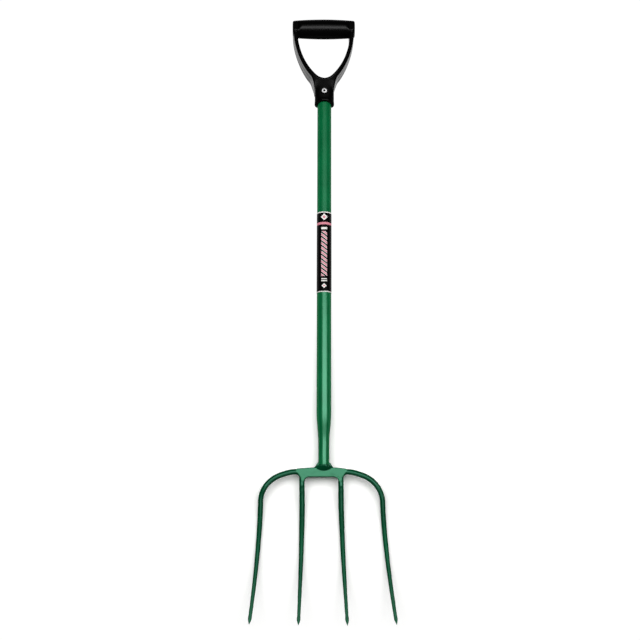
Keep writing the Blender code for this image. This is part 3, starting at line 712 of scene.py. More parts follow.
@dataclass(frozen=True)
class FloorPaper(Finish):
    """Matt white paper, which keeps its shadows about the crown and is plain white away from it."""

    crown_y: float
    colour: str = "#d6d6d4"
    overexposure: float = 0.53
    white: float = 1.04
    shaded_half: float = 0.07
    shaded_run: float = 0.36
    aside_half: float = 0.20
    aside_run: float = 0.24

    def material(self) -> bpy.types.Material:
        """Build the paper, lifted towards white where the camera or a reflection sees it.

        Returns:
            The material.
        """
        material, tree, shader = self.start()
        tree.nodes.remove(shader)
        seen = add_node(tree, "LightPath").outputs
        shown = seen["Is Camera Ray"]
        for ray in ("Is Glossy Ray", "Is Transmission Ray"):
            shown = add_node(tree, "Math", {0: shown, 1: seen[ray]}, operation="MAXIMUM")
        # The photograph is exposed so that the paper is more than white: only its deeper shadows show.
        extra = add_node(tree, "Math", {0: shown, 1: self.overexposure}, operation="MULTIPLY")
        paper, bright, none = [
            add_node(tree, "BsdfDiffuse", {"Color": to_linear(colour)})
            for colour in (self.colour, "#ffffff", "#000000")
        ]
        gain = add_node(tree, "MixShader", {0: extra, 1: none, 2: bright})
        exposed = add_node(tree, "AddShader", {0: paper, 1: gain})
        # Away from the crown it runs out into plain white, so that the handle throws no shadow.
        place = add_node(tree, "TexCoord").outputs["Object"]
        axes = add_node(tree, "SeparateXYZ", {"Vector": place}).outputs
        along = ("Y", self.crown_y, self.shaded_half, self.shaded_run)
        aside = ("X", 0.0, self.aside_half, self.aside_run)
        lift = 0.0
        for axis, middle, start, run in (along, aside):
            apart = add_node(tree, "Math", {0: axes[axis], 1: middle}, operation="SUBTRACT")
            apart = add_node(tree, "Math", {0: apart}, operation="ABSOLUTE")
            edge = {"Value": apart, "From Min": start, "From Max": start + run}
            away = add_node(tree, "MapRange", edge, interpolation_type="SMOOTHSTEP")
            lift = add_node(tree, "Math", {0: lift, 1: away}, operation="MAXIMUM")
        lift = add_node(tree, "Math", {0: lift, 1: shown}, operation="MULTIPLY")
        white = add_node(tree, "Emission", {"Strength": self.white})
        whole = add_node(tree, "MixShader", {0: lift, 1: exposed, 2: white})
        feed(tree.nodes["Material Output"], {"Surface": whole})
        return material


@dataclass(frozen=True)
class Placement:
    """Where fork coordinates have their origin in the frame."""

    origin: Vector

    @classmethod
    def from_frame(cls) -> "Placement":
        """Read the shaft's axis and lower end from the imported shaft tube.

        Returns:
            The placement.
        """
        low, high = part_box("shaft_tube")
        return cls(Vector(((low.x + high.x) / 2, low.y, (low.z + high.z) / 2)))

    def local(self, points: np.ndarray) -> np.ndarray:
        """Turn points of the frame, one row each, into fork coordinates."""
        return points - np.array(self.origin)


def settle(
    piece: bpy.types.Object, material: bpy.types.Material, slot: str, *names: str
) -> bpy.types.Object:
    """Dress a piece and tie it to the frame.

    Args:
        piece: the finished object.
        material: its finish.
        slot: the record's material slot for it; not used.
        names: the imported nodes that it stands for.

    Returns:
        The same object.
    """
    piece.data.materials.clear()
    piece.data.materials.append(material)
    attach(piece, BODY)
    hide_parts(*names)
    LOG.info("%s: %d faces, stands for %s", piece.name, len(piece.data.polygons), ", ".join(names))
    return piece


@dataclass
class ShaftTube:
    """Steel tube, swaged down to a narrow neck at the head."""

    place: Placement
    paint: bpy.types.Material
    length: float = 0.777
    radius: float = 0.01425
    wall: float = 0.0015
    neck_radius: float = 0.0106
    neck_length: float = 0.040
    swage_length: float = 0.060
    end_round: float = 0.0008
    rim_steps: int = 3
    swage_steps: int = 20
    length_steps: int = 30
    sides: int = 96

    def radius_at(self, y: float) -> float:
        """The tube's outer radius at a height above its lower end."""
        return mix(self.neck_radius, self.radius, smoothstep((y - self.neck_length) / self.swage_length))

    def build(self) -> bpy.types.Object:
        """Draw the tube down inside and out, with rounded rims.

        Returns:
            The tube.
        """
        swage_end = self.neck_length + self.swage_length
        levels = [self.end_round * 2]
        levels += spread(self.neck_length, swage_end, self.swage_steps)
        levels += spread(swage_end, self.length, self.length_steps)[1:-1]
        rim = rounding(self.end_round, self.rim_steps)
        profile = [(self.neck_radius - inset, rise) for inset, rise in rim]
        profile += [(self.radius_at(y), y) for y in levels]
        profile.append((self.radius, self.length - self.end_round))
        profile.append((self.radius - self.end_round, self.length))
        profile.append((self.radius - self.wall, self.length))
        # The bore is hardly seen, and follows every fourth level only.
        profile += [(self.radius_at(y) - self.wall, y) for y in reversed(levels[::4])]
        profile.append((self.neck_radius - self.wall, 0.0))
        shell = Shell()
        shell.loft([ring_across(y, r, r, self.sides) for r, y in profile], closed=True)
        tube = shell.finish("shaft_tube_skin", self.place.origin)
        return settle(tube, self.paint, "shaft_enamel", "shaft_tube")


@dataclass
class LabelSleeve:
    """Printed film round the middle of the shaft, with a plain pattern of its own and no lettering."""

    place: Placement
    start: float = 0.3352
    length: float = 0.1645
    inner_radius: float = 0.01438
    thickness: float = 0.00040
    steps: int = 24
    sides: int = 96

    def build(self) -> bpy.types.Object:
        """Wrap the film round the shaft, and print it.

        Returns:
            The sleeve.
        """
        outer = self.inner_radius + self.thickness
        end = self.start + self.length
        edge = self.thickness / 2
        profile = [(outer - edge, self.start)]
        profile += [(outer, y) for y in spread(self.start + edge, end - edge, self.steps)]
        profile += [(outer - edge, end), (self.inner_radius, end), (self.inner_radius, self.start)]
        shell = Shell()
        shell.loft([ring_across(y, r, r, self.sides) for r, y in profile], closed=True)
        sleeve = shell.finish("label_sleeve_skin", self.place.origin)
        self._lay_out(sleeve)
        film = PrintedFilm("printed_polypropylene_film", self.length).material()
        return settle(sleeve, film, "label_film", "label_sleeve")

    def _lay_out(self, sleeve: bpy.types.Object) -> None:
        """Give the sleeve a map in metres: across from the front, and up from the lower end.

        Args:
            sleeve: the sleeve, in its place.
        """
        mesh = sleeve.data
        layer = mesh.uv_layers.new(name=FLAT_FILM)
        middle = self.place.origin
        for face in mesh.polygons:
            centre = math.atan2(face.center.x - middle.x, face.center.z - middle.z)
            for loop in face.loop_indices:
                point = mesh.vertices[mesh.loops[loop].vertex_index].co
                angle = math.atan2(point.x - middle.x, point.z - middle.z)
                # A face at the back runs on past half a turn, instead of back across the front.
                angle -= 2 * math.pi * round((angle - centre) / (2 * math.pi))
                layer.data[loop].uv = (angle * self.inner_radius, point.y - middle.y - self.start)


@dataclass
class DHandle:
    """Moulded handle: a socket over the shaft, two channelled arms and a barrel grip."""

    place: Placement
    plastic: bpy.types.Material
    # Heights of the socket's mouth and bore, and the arch of the hand opening.
    mouth_y: float = 0.7328
    bore_end_y: float = 0.7773
    opening_y: float = 0.7859
    grip_rise: float = 0.1182
    opening_height: float = 0.0955
    fullness: float = 1.65
    foot_round: float = 0.0011
    foot_reach: float = 0.0140
    # The barrel grip.
    grip_length: float = 0.130
    grip_radius: float = 0.01975
    grip_end_radius: float = 0.0171
    grip_end_round: float = 0.0036
    grip_end_sink: float = 0.0006
    grip_droop: float = 0.0021
    grip_power: float = 1.8
    grip_shift: float = -0.0015
    # The arms' outer edges, from the grip over the knee to the foot.
    arm_inset: float = 0.0015
    arm_thickness: float = 0.0097
    arm_end: float = 0.0040
    arm_overrun: float = 0.0050
    arm_pull: tuple[float, float] = (-0.0015, -0.0340)
    knee_x: float = 0.0291
    knee_rise: float = 0.0051
    knee_lean: float = math.radians(39.5)
    knee_pull: float = 0.0280
    knee_hook: float = 0.0060
    knee_share: float = 0.70
    knee_turn: float = math.radians(65)
    foot_turn: float = math.radians(21)
    foot_x: float = 0.0194
    foot_drop: float = 0.0289
    foot_pull: float = 0.0056
    # What the mould's draft and the warping of the arms do to them.
    draft: float = 0.00065
    warp: float = 0.0007
    # The flattened ends of the grip, and the depth of arms and fork.
    flat_start: float = 0.0450
    flat_run: float = 0.0085
    arm_half_depth: float = 0.0150
    arm_spread: float = 0.6
    fork_half_depth: float = 0.0184
    foot_half_depth: float = 0.0105
    foot_start: float = 0.0080
    foot_fall: float = 0.0190
    # The arms' ridges and channels.
    ridge: float = 0.0019
    groove: float = 0.0019
    groove_slope: float = 0.0009
    edge: float = 0.0010
    side_groove: float = 0.0005
    side_stops: tuple[float, ...] = (0.26, 0.38, 0.5, 0.62)
    # The socket and its scalloped mouth.
    socket_radius: float = 0.01975
    socket_half_depth: float = 0.0173
    socket_rise: float = 0.0086
    squareness: float = 2.5
    lip: float = 0.0005
    scallop: float = 0.0038
    mouth_round: float = 0.0032
    shaft_radius: float = 0.01425
    lip_stops: tuple[float, float, float] = (0.003, 0.007, 0.010)
    shoulder_fall: tuple[float, float] = (-0.0004, -0.0016)
    bore_start: float = 0.001
    # Where the fork's flats end, and over what length they fade.
    fork_half_width: float = 0.0205
    fork_side_fade: float = 0.0060
    fork_gap: float = 0.0030
    fork_top_fade: float = 0.0040
    fork_start: float = 0.0075
    fork_foot_fade: float = 0.0060
    fork_flat_depth: float = 0.0100
    fork_face_fade: float = 0.0030
    fork_gain: float = 1.6
    # Which sides slid along the mould, by the way they face and by height.
    wall_start: float = 0.30
    wall_end: float = 0.55
    wall_fade: float = 0.2
    wall_top_gap: float = 0.0140
    wall_top_fade: float = 0.0100
    wall_foot_fade: float = 0.0220
    # The rivet's seat, and the wave, height and seed of the moulding's sinks.
    rivet_y: float = 0.7570
    seat_radius: float = 0.0067
    seat_depth: float = 0.0010
    seat_rim: float = 0.0012
    seat_overlap: float = 0.0008
    seat_middle: float = 0.0030
    sinks: tuple[float, float, float] = (0.028, 0.00010, 3.0)
    # How finely it is drawn.
    arm_steps: int = 54
    grip_steps: int = 32
    round_steps: int = 6
    softening: int = 3
    blend_rounds: int = 260
    sides: int = 96
    grain: float = 0.0006

    def build(self) -> bpy.types.Object:
        """Mould the handle in one skin, blend its fork, then press in the rivet's seat.

        Returns:
            The handle.
        """
        shell = Shell()
        shell.loft([self.arm_section(outer, inner) for outer, inner in self.arm_stations()])
        shell.loft(self.grip_rings())
        shell.loft(self.socket_rings())
        handle = shell.finish("d_handle_moulding", self.place.origin)
        weld_skins(handle, self.grain, self.softening)
        relax(handle, self.fork_share, self.blend_rounds)
        move_points(handle, self.press)
        self.mark_walls(handle)
        return settle(handle, self.plastic, "handle_plastic", "d_handle")

    @property
    def grip_y(self) -> float:
        """Height of the grip's axis."""
        return self.opening_y + self.grip_rise

    def inner_edge(self, angle: float) -> Vector:
        """A point on the hand opening's arch.

        Args:
            angle: 0 at the arch's side, and a quarter turn at its lowest point.

        Returns:
            The point.
        """
        reach = self.grip_length / 2 - self.arm_inset - self.arm_thickness
        x, drop = oval(angle, reach, self.opening_height, self.fullness)
        near = (x / self.foot_reach) ** 2
        drop += self.foot_round * near * math.exp(1 - near)
        return Vector((x, self.opening_y + self.opening_height - drop, 0))

    def outer_edge(self, t: float) -> Vector:
        """A point on an arm's outer edge.

        Args:
            t: 0 at the grip, knee_share at the knee and 1 at the foot.

        Returns:
            The point.
        """
        reach = self.grip_length / 2 - self.arm_inset
        top = Vector((reach, self.opening_y + self.opening_height + self.arm_overrun, 0))
        knee = Vector((self.knee_x, self.opening_y + self.knee_rise, 0))
        foot = Vector((self.foot_x, self.opening_y - self.foot_drop, 0))
        run = Vector((math.sin(self.knee_lean), math.cos(self.knee_lean), 0))
        if t < self.knee_share:
            controls = (top, top + Vector((*self.arm_pull, 0)), knee + run * self.knee_pull, knee)
            return bezier(controls, t / self.knee_share)
        controls = (knee, knee - run * self.knee_hook, foot + Y_AXIS * self.foot_pull, foot)
        return bezier(controls, (t - self.knee_share) / (1 - self.knee_share))

    def half_depth(self, y: float) -> float:
        """Half of an arm's depth: most at the fork, and less up the arm and down its foot.

        Args:
            y: the height.

        Returns:
            Half of the depth there.
        """
        foot_y = self.opening_y - self.foot_start
        if y < foot_y:
            share = smoothstep((foot_y - y) / self.foot_fall)
            return mix(self.fork_half_depth, self.foot_half_depth, share)
        spread_run = self.arm_spread * self.opening_height
        share = smoothstep((self.opening_y + spread_run - y) / spread_run)
        return mix(self.arm_half_depth, self.fork_half_depth, share)

    def arm_stations(self) -> list[tuple[Vector, Vector]]:
        """Lay out the arms' cross sections, from one end of the grip to the other.

        Returns:
            The outer and the inner point of each.
        """
        rise = Y_AXIS * (self.grip_rise - self.opening_height - self.arm_end)
        half = [(self.outer_edge(0) + rise, self.inner_edge(0) + rise)]
        for t in spread(0, 1, self.arm_steps):
            beside_knee = self.knee_turn * min(1.0, t / self.knee_share)
            past_knee = self.foot_turn * max(0.0, t - self.knee_share) / (1 - self.knee_share)
            half.append((self.outer_edge(t), self.inner_edge(beside_knee + past_knee)))
        mirror = Vector((-1, 1, 1))
        middle = (Y_AXIS * self.outer_edge(1).y, Y_AXIS * self.inner_edge(math.pi / 2).y)
        return half + [middle] + [(outer * mirror, inner * mirror) for outer, inner in reversed(half)]

    def arm_section(self, outer: Vector, inner: Vector) -> Ring:
        """One ring round an arm: rounded ridges with a channel between, and two faint channels outside.

        Args:
            outer: the middle of the arm's outer side.
            inner: the middle of the side that faces the hand.

        Returns:
            The ring.
        """
        across = inner - outer
        width = across.length
        across.normalize()
        ramp_end = self.ridge + self.groove_slope
        half = [(0.0, self.edge), (0.3 * self.edge, 0.3 * self.edge), (self.edge, 0.0), (self.ridge, 0.0)]
        half += [(mix(self.ridge, ramp_end, 0.5), 0.5 * self.groove), (ramp_end, self.groove)]
        profile = half + [(0.5 * width, self.groove)] + [(width - x, below) for x, below in reversed(half)]
        front = []
        for along, below in profile:
            point = outer + across * along
            front.append(point + Z_AXIS * (self.half_depth(point.y) - below))
        depth = self.half_depth(outer.y)
        insets = (0, 1, 1, 0)
        stops = [(-share, inset) for share, inset in zip(reversed(self.side_stops), insets)]
        stops += zip(self.side_stops, insets)
        sink = across * self.side_groove
        side = [outer + sink * inset + Z_AXIS * (share * depth) for share, inset in stops]
        ring = front + [Vector((point.x, point.y, -point.z)) for point in reversed(front)] + side
        for point in ring:
            outwards = max(0.0, 1 - (point - outer).dot(across) / width)
            point += across * (self.draft * outwards * point.z / depth)
            point.x += self.grip_shift * max(0.0, (point.y - self.opening_y) / self.grip_rise)
            point.x -= self.warp * (1 - point.z / depth)
        return ring

    def grip_rings(self) -> list[Ring]:
        """Draw the barrel grip, with its ends flattened front and back.

        Returns:
            Its rings, from its left end to its right end.
        """
        half = self.grip_length / 2
        straight = half - self.grip_end_round
        end = [(self.grip_end_radius * 0.55, self.grip_end_sink), (self.grip_end_radius * 0.66, 0.0)]
        rim = rounding(self.grip_end_round, self.round_steps)
        end += [(self.grip_end_radius - inset, rise) for inset, rise in rim]
        profile = [(radius, rise - half) for radius, rise in end]
        for x in spread(-straight, straight, self.grip_steps)[1:-1]:
            profile.append((mix(self.grip_end_radius, self.grip_radius, 1 - (x / straight) ** 2), x))
        profile += [(radius, half - rise) for radius, rise in reversed(end)]
        rings = []
        for radius, x in profile:
            share = smoothstep((abs(x) - self.flat_start) / self.flat_run)
            flat = mix(self.grip_radius, self.arm_half_depth, share)
            ring = []
            for angle in turn_angles(self.sides):
                up, out = oval(angle, radius, radius, self.grip_power)
                droop = self.grip_droop * max(0.0, -math.cos(angle))
                height = self.grip_y + up - droop
                ring.append(Vector((x + self.grip_shift, height, min(flat, max(-flat, out)))))
            rings.append(ring)
        return rings

    def fork_share(self, points: np.ndarray) -> np.ndarray:
        """Find the flats of the fork, where arms and socket flow together.

        Args:
            points: places in the frame.

        Returns:
            How far each place lies in them, from 0 to 1.
        """
        x, y, z = self.place.local(points).T
        share = ramp(np.abs(x), self.fork_half_width, -self.fork_side_fade)
        share *= ramp(y, self.opening_y - self.fork_gap, -self.fork_top_fade)
        share *= ramp(y, self.mouth_y + self.fork_start, self.fork_foot_fade)
        return share * ramp(np.abs(z), self.fork_flat_depth, self.fork_face_fade)

    def socket_rings(self) -> list[Ring]:
        """Draw the socket, round at its scalloped mouth and squarer above.

        Returns:
            Its rings, from inside its mouth to the foot of the hand opening.
        """
        depth = self.bore_end_y - self.mouth_y
        top = depth + self.socket_rise
        levels = []
        for inset, rise in rounding(1.0, self.round_steps):
            levels.append((self.mouth_round * rise, self.lip - (self.mouth_round + self.lip) * inset))
        lip_half, lip_end, side_start = [self.mouth_round + stop for stop in self.lip_stops]
        levels += [(lip_half, 0.6 * self.lip), (lip_end, 0.0)]
        levels += [(level, 0.0) for level in spread(side_start, depth, self.round_steps)]
        levels += zip((mix(depth, top, 0.6), top), self.shoulder_fall)
        fade = 0.4 * depth
        rings = []
        for inward in (0.5, 0.97):
            radius = self.shaft_radius * inward
            ring = ring_across(self.mouth_y + self.bore_start, radius, radius, self.sides)
            rings.append(self.scalloped(ring, 1.0))
        for level, extra in levels:
            t = smoothstep(level / top)
            width = self.socket_radius + extra
            height = mix(self.socket_radius, self.socket_half_depth, t) + extra
            power = mix(2.0, self.squareness, t)
            ring = ring_across(self.mouth_y + level, width, height, self.sides, power)
            rings.append(self.scalloped(ring, max(0.0, 1 - level / fade)))
        return rings

    def scalloped(self, ring: Ring, share: float) -> Ring:
        """Raise a ring at the front and back, so that the mouth has an ear at each side.

        Args:
            ring: a ring round the socket, which is changed.
            share: how much of the scallop it gets.

        Returns:
            The same ring.
        """
        for point, angle in zip(ring, turn_angles(len(ring))):
            point.y += self.scallop * share * (smoothstep(0.5 - 0.5 * math.cos(2 * angle)) - 0.5)
        return ring

    def press(self, points: np.ndarray, normals: np.ndarray) -> np.ndarray:
        """Press the rivet's round seat into the front, and leave the faint sinks of a thick moulding.

        Args:
            points: the mesh's points in the frame.
            normals: their normals.

        Returns:
            How far each point moves.
        """
        x, y, z = self.place.local(points).T
        away = np.hypot(x, y - self.rivet_y)
        rim = ramp(away, self.seat_radius + self.seat_overlap, -self.seat_rim)
        near = (away < self.seat_middle) & (z > self.fork_flat_depth)
        floor_z = float(np.median(z[near])) - self.seat_depth
        moved = np.zeros_like(points)
        moved[:, 2] = rim * rim * (3 - 2 * rim) * np.where(z > 0, np.minimum(0.0, floor_z - z), 0.0)
        return moved + normals * uneven(points, *self.sinks)[:, None]

    def mark_walls(self, handle: bpy.types.Object) -> None:
        """Note which outer sides of the arms slid along the mould, and where the fork's flats are.

        Args:
            handle: the handle, in its last shape.
        """
        points, normals = read_points(handle)
        x, y, _ = self.place.local(points).T
        share = ramp(normals[:, 0] * np.sign(x), self.wall_start, self.wall_fade)
        share *= ramp(np.abs(normals[:, 2]), self.wall_end, -self.wall_fade)
        share *= ramp(y, self.grip_y - self.wall_top_gap, -self.wall_top_fade)
        share *= ramp(y, self.rivet_y, self.wall_foot_fade)
        note(handle, POLISHED, share)
        note(handle, DULLED, np.clip(self.fork_share(points) * self.fork_gain, 0, 1))


@dataclass
class BlindRivet:
    """Set blind rivet through the socket's front: a domed body and what stays of its mandrel."""

    place: Placement
    aluminium: bpy.types.Material
    steel: bpy.types.Material
    y: float = 0.7570
    head_radius: float = 0.0050
    body_radius: float = 0.0030
    bore_radius: float = 0.0026
    head_height: float = 0.0014
    dome_power: float = 2.4
    bore_chamfer: float = 0.0006
    recess: float = 0.0010
    tail_taper: float = 0.0009
    gap: float = 0.0003
    undercut: float = 0.0001
    tear: float = 0.0002
    dome_steps: int = 8
    sides: int = 48

    def build(self) -> tuple[bpy.types.Object, bpy.types.Object]:
        """Turn the body and the mandrel.

        Returns:
            Both pieces.
        """
        low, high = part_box("rivet_body")
        top = high.z - self.place.origin.z
        bottom = low.z - self.place.origin.z
        seat = top - self.head_height
        profile = [(self.bore_radius, bottom), (self.bore_radius, top - 0.3 * self.head_height)]
        profile.append((self.bore_radius + 0.15 * self.head_height, top - 0.08 * self.head_height))
        for t in spread(0, 1, self.dome_steps)[1:]:
            radius = mix(self.bore_radius + self.bore_chamfer, self.head_radius, t)
            profile.append((radius, top - 0.75 * self.head_height * t**self.dome_power))
        profile.append((self.head_radius, seat))
        profile += [(self.body_radius, seat - self.undercut), (self.body_radius, bottom)]
        body = self.turned("rivet_body_turned", profile, True)
        settle(body, self.aluminium, "rivet_aluminium", "rivet_body")

        stem = self.bore_radius * 0.98
        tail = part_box("rivet_mandrel")[0].z - self.place.origin.z
        end = top - self.recess
        profile = [
            (self.body_radius * 0.5, tail),
            (self.body_radius, tail + self.tail_taper),
            (self.body_radius, bottom - self.gap),
            (stem, bottom - self.gap),
            (stem, end - self.gap),
            (stem * 0.8, end),
            (stem * 0.35, end + self.tear),
        ]
        wire = self.turned("rivet_mandrel_wire", profile, False)
        settle(wire, self.steel, "mandrel_steel", "rivet_mandrel")
        return body, wire

    def turned(self, name: str, profile: Outline, closed: bool) -> bpy.types.Object:
        """Turn a piece square to the fork's face.

        Args:
            name: the piece's name.
            profile: its radii, each with a height.
            closed: whether the profile runs back to its start, round a bore.

        Returns:
            The piece.
        """
        rings = []
        for radius, z in profile:
            centre = Vector((0, self.y, z))
            rings.append(oval_ring(centre, (X_AXIS, Y_AXIS), (radius, radius), self.sides))
        shell = Shell()
        shell.loft(rings, closed)
        return shell.finish(name, self.place.origin)


@dataclass
class ForgedHead:
    """Head forged in one: a dressed flat crown with shoulders, and four bars drawn down to points."""

    place: Placement
    paint: bpy.types.Material
    # The crown and its dressed flat, from the head's own middle.
    shift: float = -0.0045
    top_y: float = -0.0052
    height: float = 0.0180
    flat_half: float = 0.0051
    flat_top_x: float = 0.0235
    corner_x: float = 0.0500
    corner_drop: float = 0.0028
    corner_cut: float = 0.0044
    corner_rise: float = 0.0008
    corner_fall: float = 0.0014
    flat_edge: float = 0.0011
    # The thinner web in the crotches, and the flat's points on the inner tines.
    web_half: float = 0.0040
    web_edge: float = 0.0026
    crotch: float = 0.0090
    crotch_sink: float = 0.0007
    face_crotch: int = 8
    tongue: float = 0.0106
    tongue_offset: float = 0.0030
    # The shoulders beside the shaft's end.
    wing_start: float = 0.0106
    wing_reach: float = 0.0195
    wing_rise: float = 0.0046
    wing_half: float = 0.0036
    wing_edge: float = 0.0012
    wing_inside: float = 0.0040
    wing_sweep: tuple[tuple[float, float], tuple[float, float]] = ((0.0032, -0.0006), (0.0036, 0.0024))
    wing_sink: float = 0.0006
    # The bars, seen from the front.
    bar_radius: float = 0.00535
    shoulder_radius: float = 0.0051
    bar_y: float = -0.0161
    inner_x: float = 0.0371
    outer_root_x: float = 0.0565
    root_rise: float = 0.0029
    root_end: float = 0.0760
    root_run: float = 0.0290
    outer_x: float = 0.1162
    shoulder_y: float = -0.0710
    inner_reach: float = 0.2923
    outer_reach: float = 0.2912
    inner_splay: float = 0.0067
    outer_splay: float = 0.0160
    splay_power: float = 1.35
    lean: float = 0.0128
    # The bars, seen from the side.
    bend_y: float = -0.0385
    bend_radius: float = 0.030
    bend_angle: float = math.radians(17.5)
    dish_radius: float = 0.288
    # The drawn down points.
    point_length: float = 0.0230
    point_tip: float = 0.0005
    inner_neck: float = 0.0032
    outer_neck: float = 0.0035
    draw_power: float = 1.25
    point_width: float = 0.0076
    point_thickness: float = 0.0048
    # How sharply the dressed flat ends, and the wave, height and seed of the blows and scale marks.
    dress_over: float = 0.0010
    dress_fade: float = 0.0008
    flat_from: float = 0.955
    flat_fade: float = 0.035
    blows: tuple[float, float, float] = (0.016, 0.00016, 11.0)
    scale_marks: tuple[float, float, float] = (0.007, 0.00014, 5.0)
    # How finely it is drawn.
    inner_steps: int = 14
    root_steps: int = 5
    arch_steps: int = 28
    drawn_steps: int = 40
    arc_steps: int = 12
    wing_steps: int = 10
    softening: int = 4
    grain: float = 0.00055
    sides: int = 28
    nodes: tuple[str, ...] = (
        "crown",
        "tine_outer_left",
        "tine_inner_left",
        "tine_inner_right",
        "tine_outer_right",
    )

    def build(self) -> bpy.types.Object:
        """Run plates and bars together into one skin, then leave the hammer's unevenness on it.

        Returns:
            The head.
        """
        shell = Shell()
        shell.plate(self.face_outline(), self.flat_half, self.flat_edge)
        shell.plate(self.web_outline(), self.web_half, self.web_edge)
        for side in (-1, 1):
            shell.plate(self.wing_outline(side), self.wing_half, self.wing_edge)
            shell.loft(self.tine_rings(self.inner_run(side), self.inner_neck))
            shell.loft(self.tine_rings(self.outer_run(side), self.outer_neck))
        head = shell.finish("forged_head", self.place.origin)
        weld_skins(head, self.grain, self.softening)
        move_points(head, self.hammer)
        self.mark_face(head)
        return settle(head, self.paint, "head_enamel", *self.nodes)

    @property
    def low_y(self) -> float:
        """Height of the crown's lower edge."""
        return self.top_y - self.height

    @property
    def tongue_tip(self) -> tuple[float, float]:
        """Where the dressed flat ends on the right inner tine."""
        return self.inner_x - self.tongue_offset, self.low_y - self.tongue

    @property
    def face_corner(self) -> tuple[float, float]:
        """The lower one of the dressed flat's two corners at its right end."""
        return self.corner_x, self.top_y - self.corner_drop - self.corner_fall

    def dip(self, y: float) -> float:
        """Follow the bars' centres: level at the crown, bent back, then swept up in one long arc.

        Args:
            y: a height along the fork.

        Returns:
            How far the centres lie in front of the shaft's axis there.
        """
        if y >= self.bend_y:
            return 0.0
        bend_end = self.bend_y - self.bend_radius * math.sin(self.bend_angle)
        if y >= bend_end:
            return math.sqrt(self.bend_radius**2 - (self.bend_y - y) ** 2) - self.bend_radius
        drop = self.bend_radius * (1 - math.cos(self.bend_angle))
        sine = math.sin(self.bend_angle) - (bend_end - y) / self.dish_radius
        return -drop - self.dish_radius * (math.sqrt(1 - sine * sine) - math.cos(self.bend_angle))

    def point(self, x: float, y: float) -> Vector:
        """A place on a bar's centre line, from the head's own X."""
        return Vector((x + self.shift + self.lean * max(0.0, self.bend_y - y), y, self.dip(y)))

    def drawn(self, x: float, splay: float, reach: float, top: float, neck: float) -> Run:
        """Draw a bar down from its shoulder to the neck of its point.

        Args:
            x: where it stands at the shoulder.
            splay: how far it has moved out at the neck.
            reach: how far down its point ends.
            top: its radius at the shoulder.
            neck: its radius at the neck.

        Returns:
            Its centres and radii.
        """
        low = -reach + self.point_length
        run = []
        for t in spread(0, 1, self.drawn_steps):
            centre = self.point(x + splay * t**self.splay_power, mix(self.shoulder_y, low, t))
            run.append((centre, mix(top, neck, t**self.draw_power)))
        return run

    def inner_run(self, side: int) -> Run:
        """Follow an inner tine, from inside the crown down.

        Args:
            side: -1 for the left one and 1 for the right one.

        Returns:
            Its centres and radii.
        """
        start = mix(self.top_y, self.low_y, 0.6)
        x = side * self.inner_x
        heights = spread(start, self.shoulder_y, self.inner_steps)[:-1]
        run = [(self.point(x, y), self.bar_radius) for y in heights]
        splay = side * self.inner_splay
        return run + self.drawn(x, splay, self.inner_reach, self.bar_radius, self.inner_neck)

    def root_lift(self, x: float) -> float:
        """How far an outer bar rises towards the crown's corner, at a distance from the head's middle."""
        return self.root_rise * smoothstep((self.root_end - x) / self.root_run)

    def outer_run(self, side: int) -> Run:
        """Follow an outer tine, from inside the crown out, over the arch and down.

        Args:
            side: -1 for the left one and 1 for the right one.

        Returns:
            Its centres and radii.
        """
        inside = self.inner_x + 0.5 * self.bar_radius
        root = spread(inside, self.outer_root_x, self.root_steps)[:-1]
        places = [(x, self.bar_y, self.bar_radius) for x in root]
        for t in spread(0, 1, self.arch_steps)[:-1]:
            angle = math.pi / 2 * (1 - t)
            x = self.outer_root_x + (self.outer_x - self.outer_root_x) * math.cos(angle)
            y = self.shoulder_y + (self.bar_y - self.shoulder_y) * math.sin(angle)
            places.append((x, y, mix(self.bar_radius, self.shoulder_radius, t)))
        run = [(self.point(side * x, y + self.root_lift(x)), radius) for x, y, radius in places]
        x, splay = side * self.outer_x, side * self.outer_splay
        return run + self.drawn(x, splay, self.outer_reach, self.shoulder_radius, self.outer_neck)

    def bar_ring(
        self, centre: Vector, along: Vector, radius: float, depth: float, power: float = 2.0
    ) -> Ring:
        """A ring round a bar, square to the way it runs.

        Args:
            centre: its middle.
            along: the way that the bar runs.
            radius: half of its width.
            depth: half of its depth, out of the fork's face.
            power: its squareness, as in oval.

        Returns:
            The ring.
        """
        side = along.cross(Z_AXIS).normalized()
        front = side.cross(along).normalized()
        return oval_ring(centre, (side, front), (radius, depth), self.sides, power)

    def tine_rings(self, run: Run, neck: float) -> list[Ring]:
        """Draw a bar, then its forged diamond point, which widens from the neck and runs out.

        Args:
            run: the bar's centres and radii.
            neck: the radius where the point starts.

        Returns:
            The rings.
        """
        rings = []
        for i, (centre, radius) in enumerate(run):
            before = run[max(0, i - 1)][0]
            after = run[min(len(run) - 1, i + 1)][0]
            rings.append(self.bar_ring(centre, (after - before).normalized(), radius, radius))
        along = (run[-1][0] - run[-2][0]).normalized()
        # How far down the point, half its width and half its thickness there, and its squareness.
        stages = (
            (0.16, neck * 0.94, neck * 0.92, 1.9),
            (0.40, self.point_width * 0.47, self.point_thickness * 0.54, 1.4),
            (0.56, self.point_width * 0.50, self.point_thickness * 0.50, 1.2),
            (0.78, self.point_width * 0.31, self.point_thickness * 0.33, 1.15),
            (1.00, self.point_tip, self.point_tip, 1.5),
        )
        for share, radius, depth, power in stages:
            centre = run[-1][0] + along * self.point_length * share
            rings.append(self.bar_ring(centre, along, radius, depth, power))
        return rings

    def both_sides(self, right: Outline) -> Outline:
        """An anticlockwise outline about the head's centre line, from its right half."""
        return [(x + self.shift, y) for x, y in right + [(-x, y) for x, y in reversed(right)]]

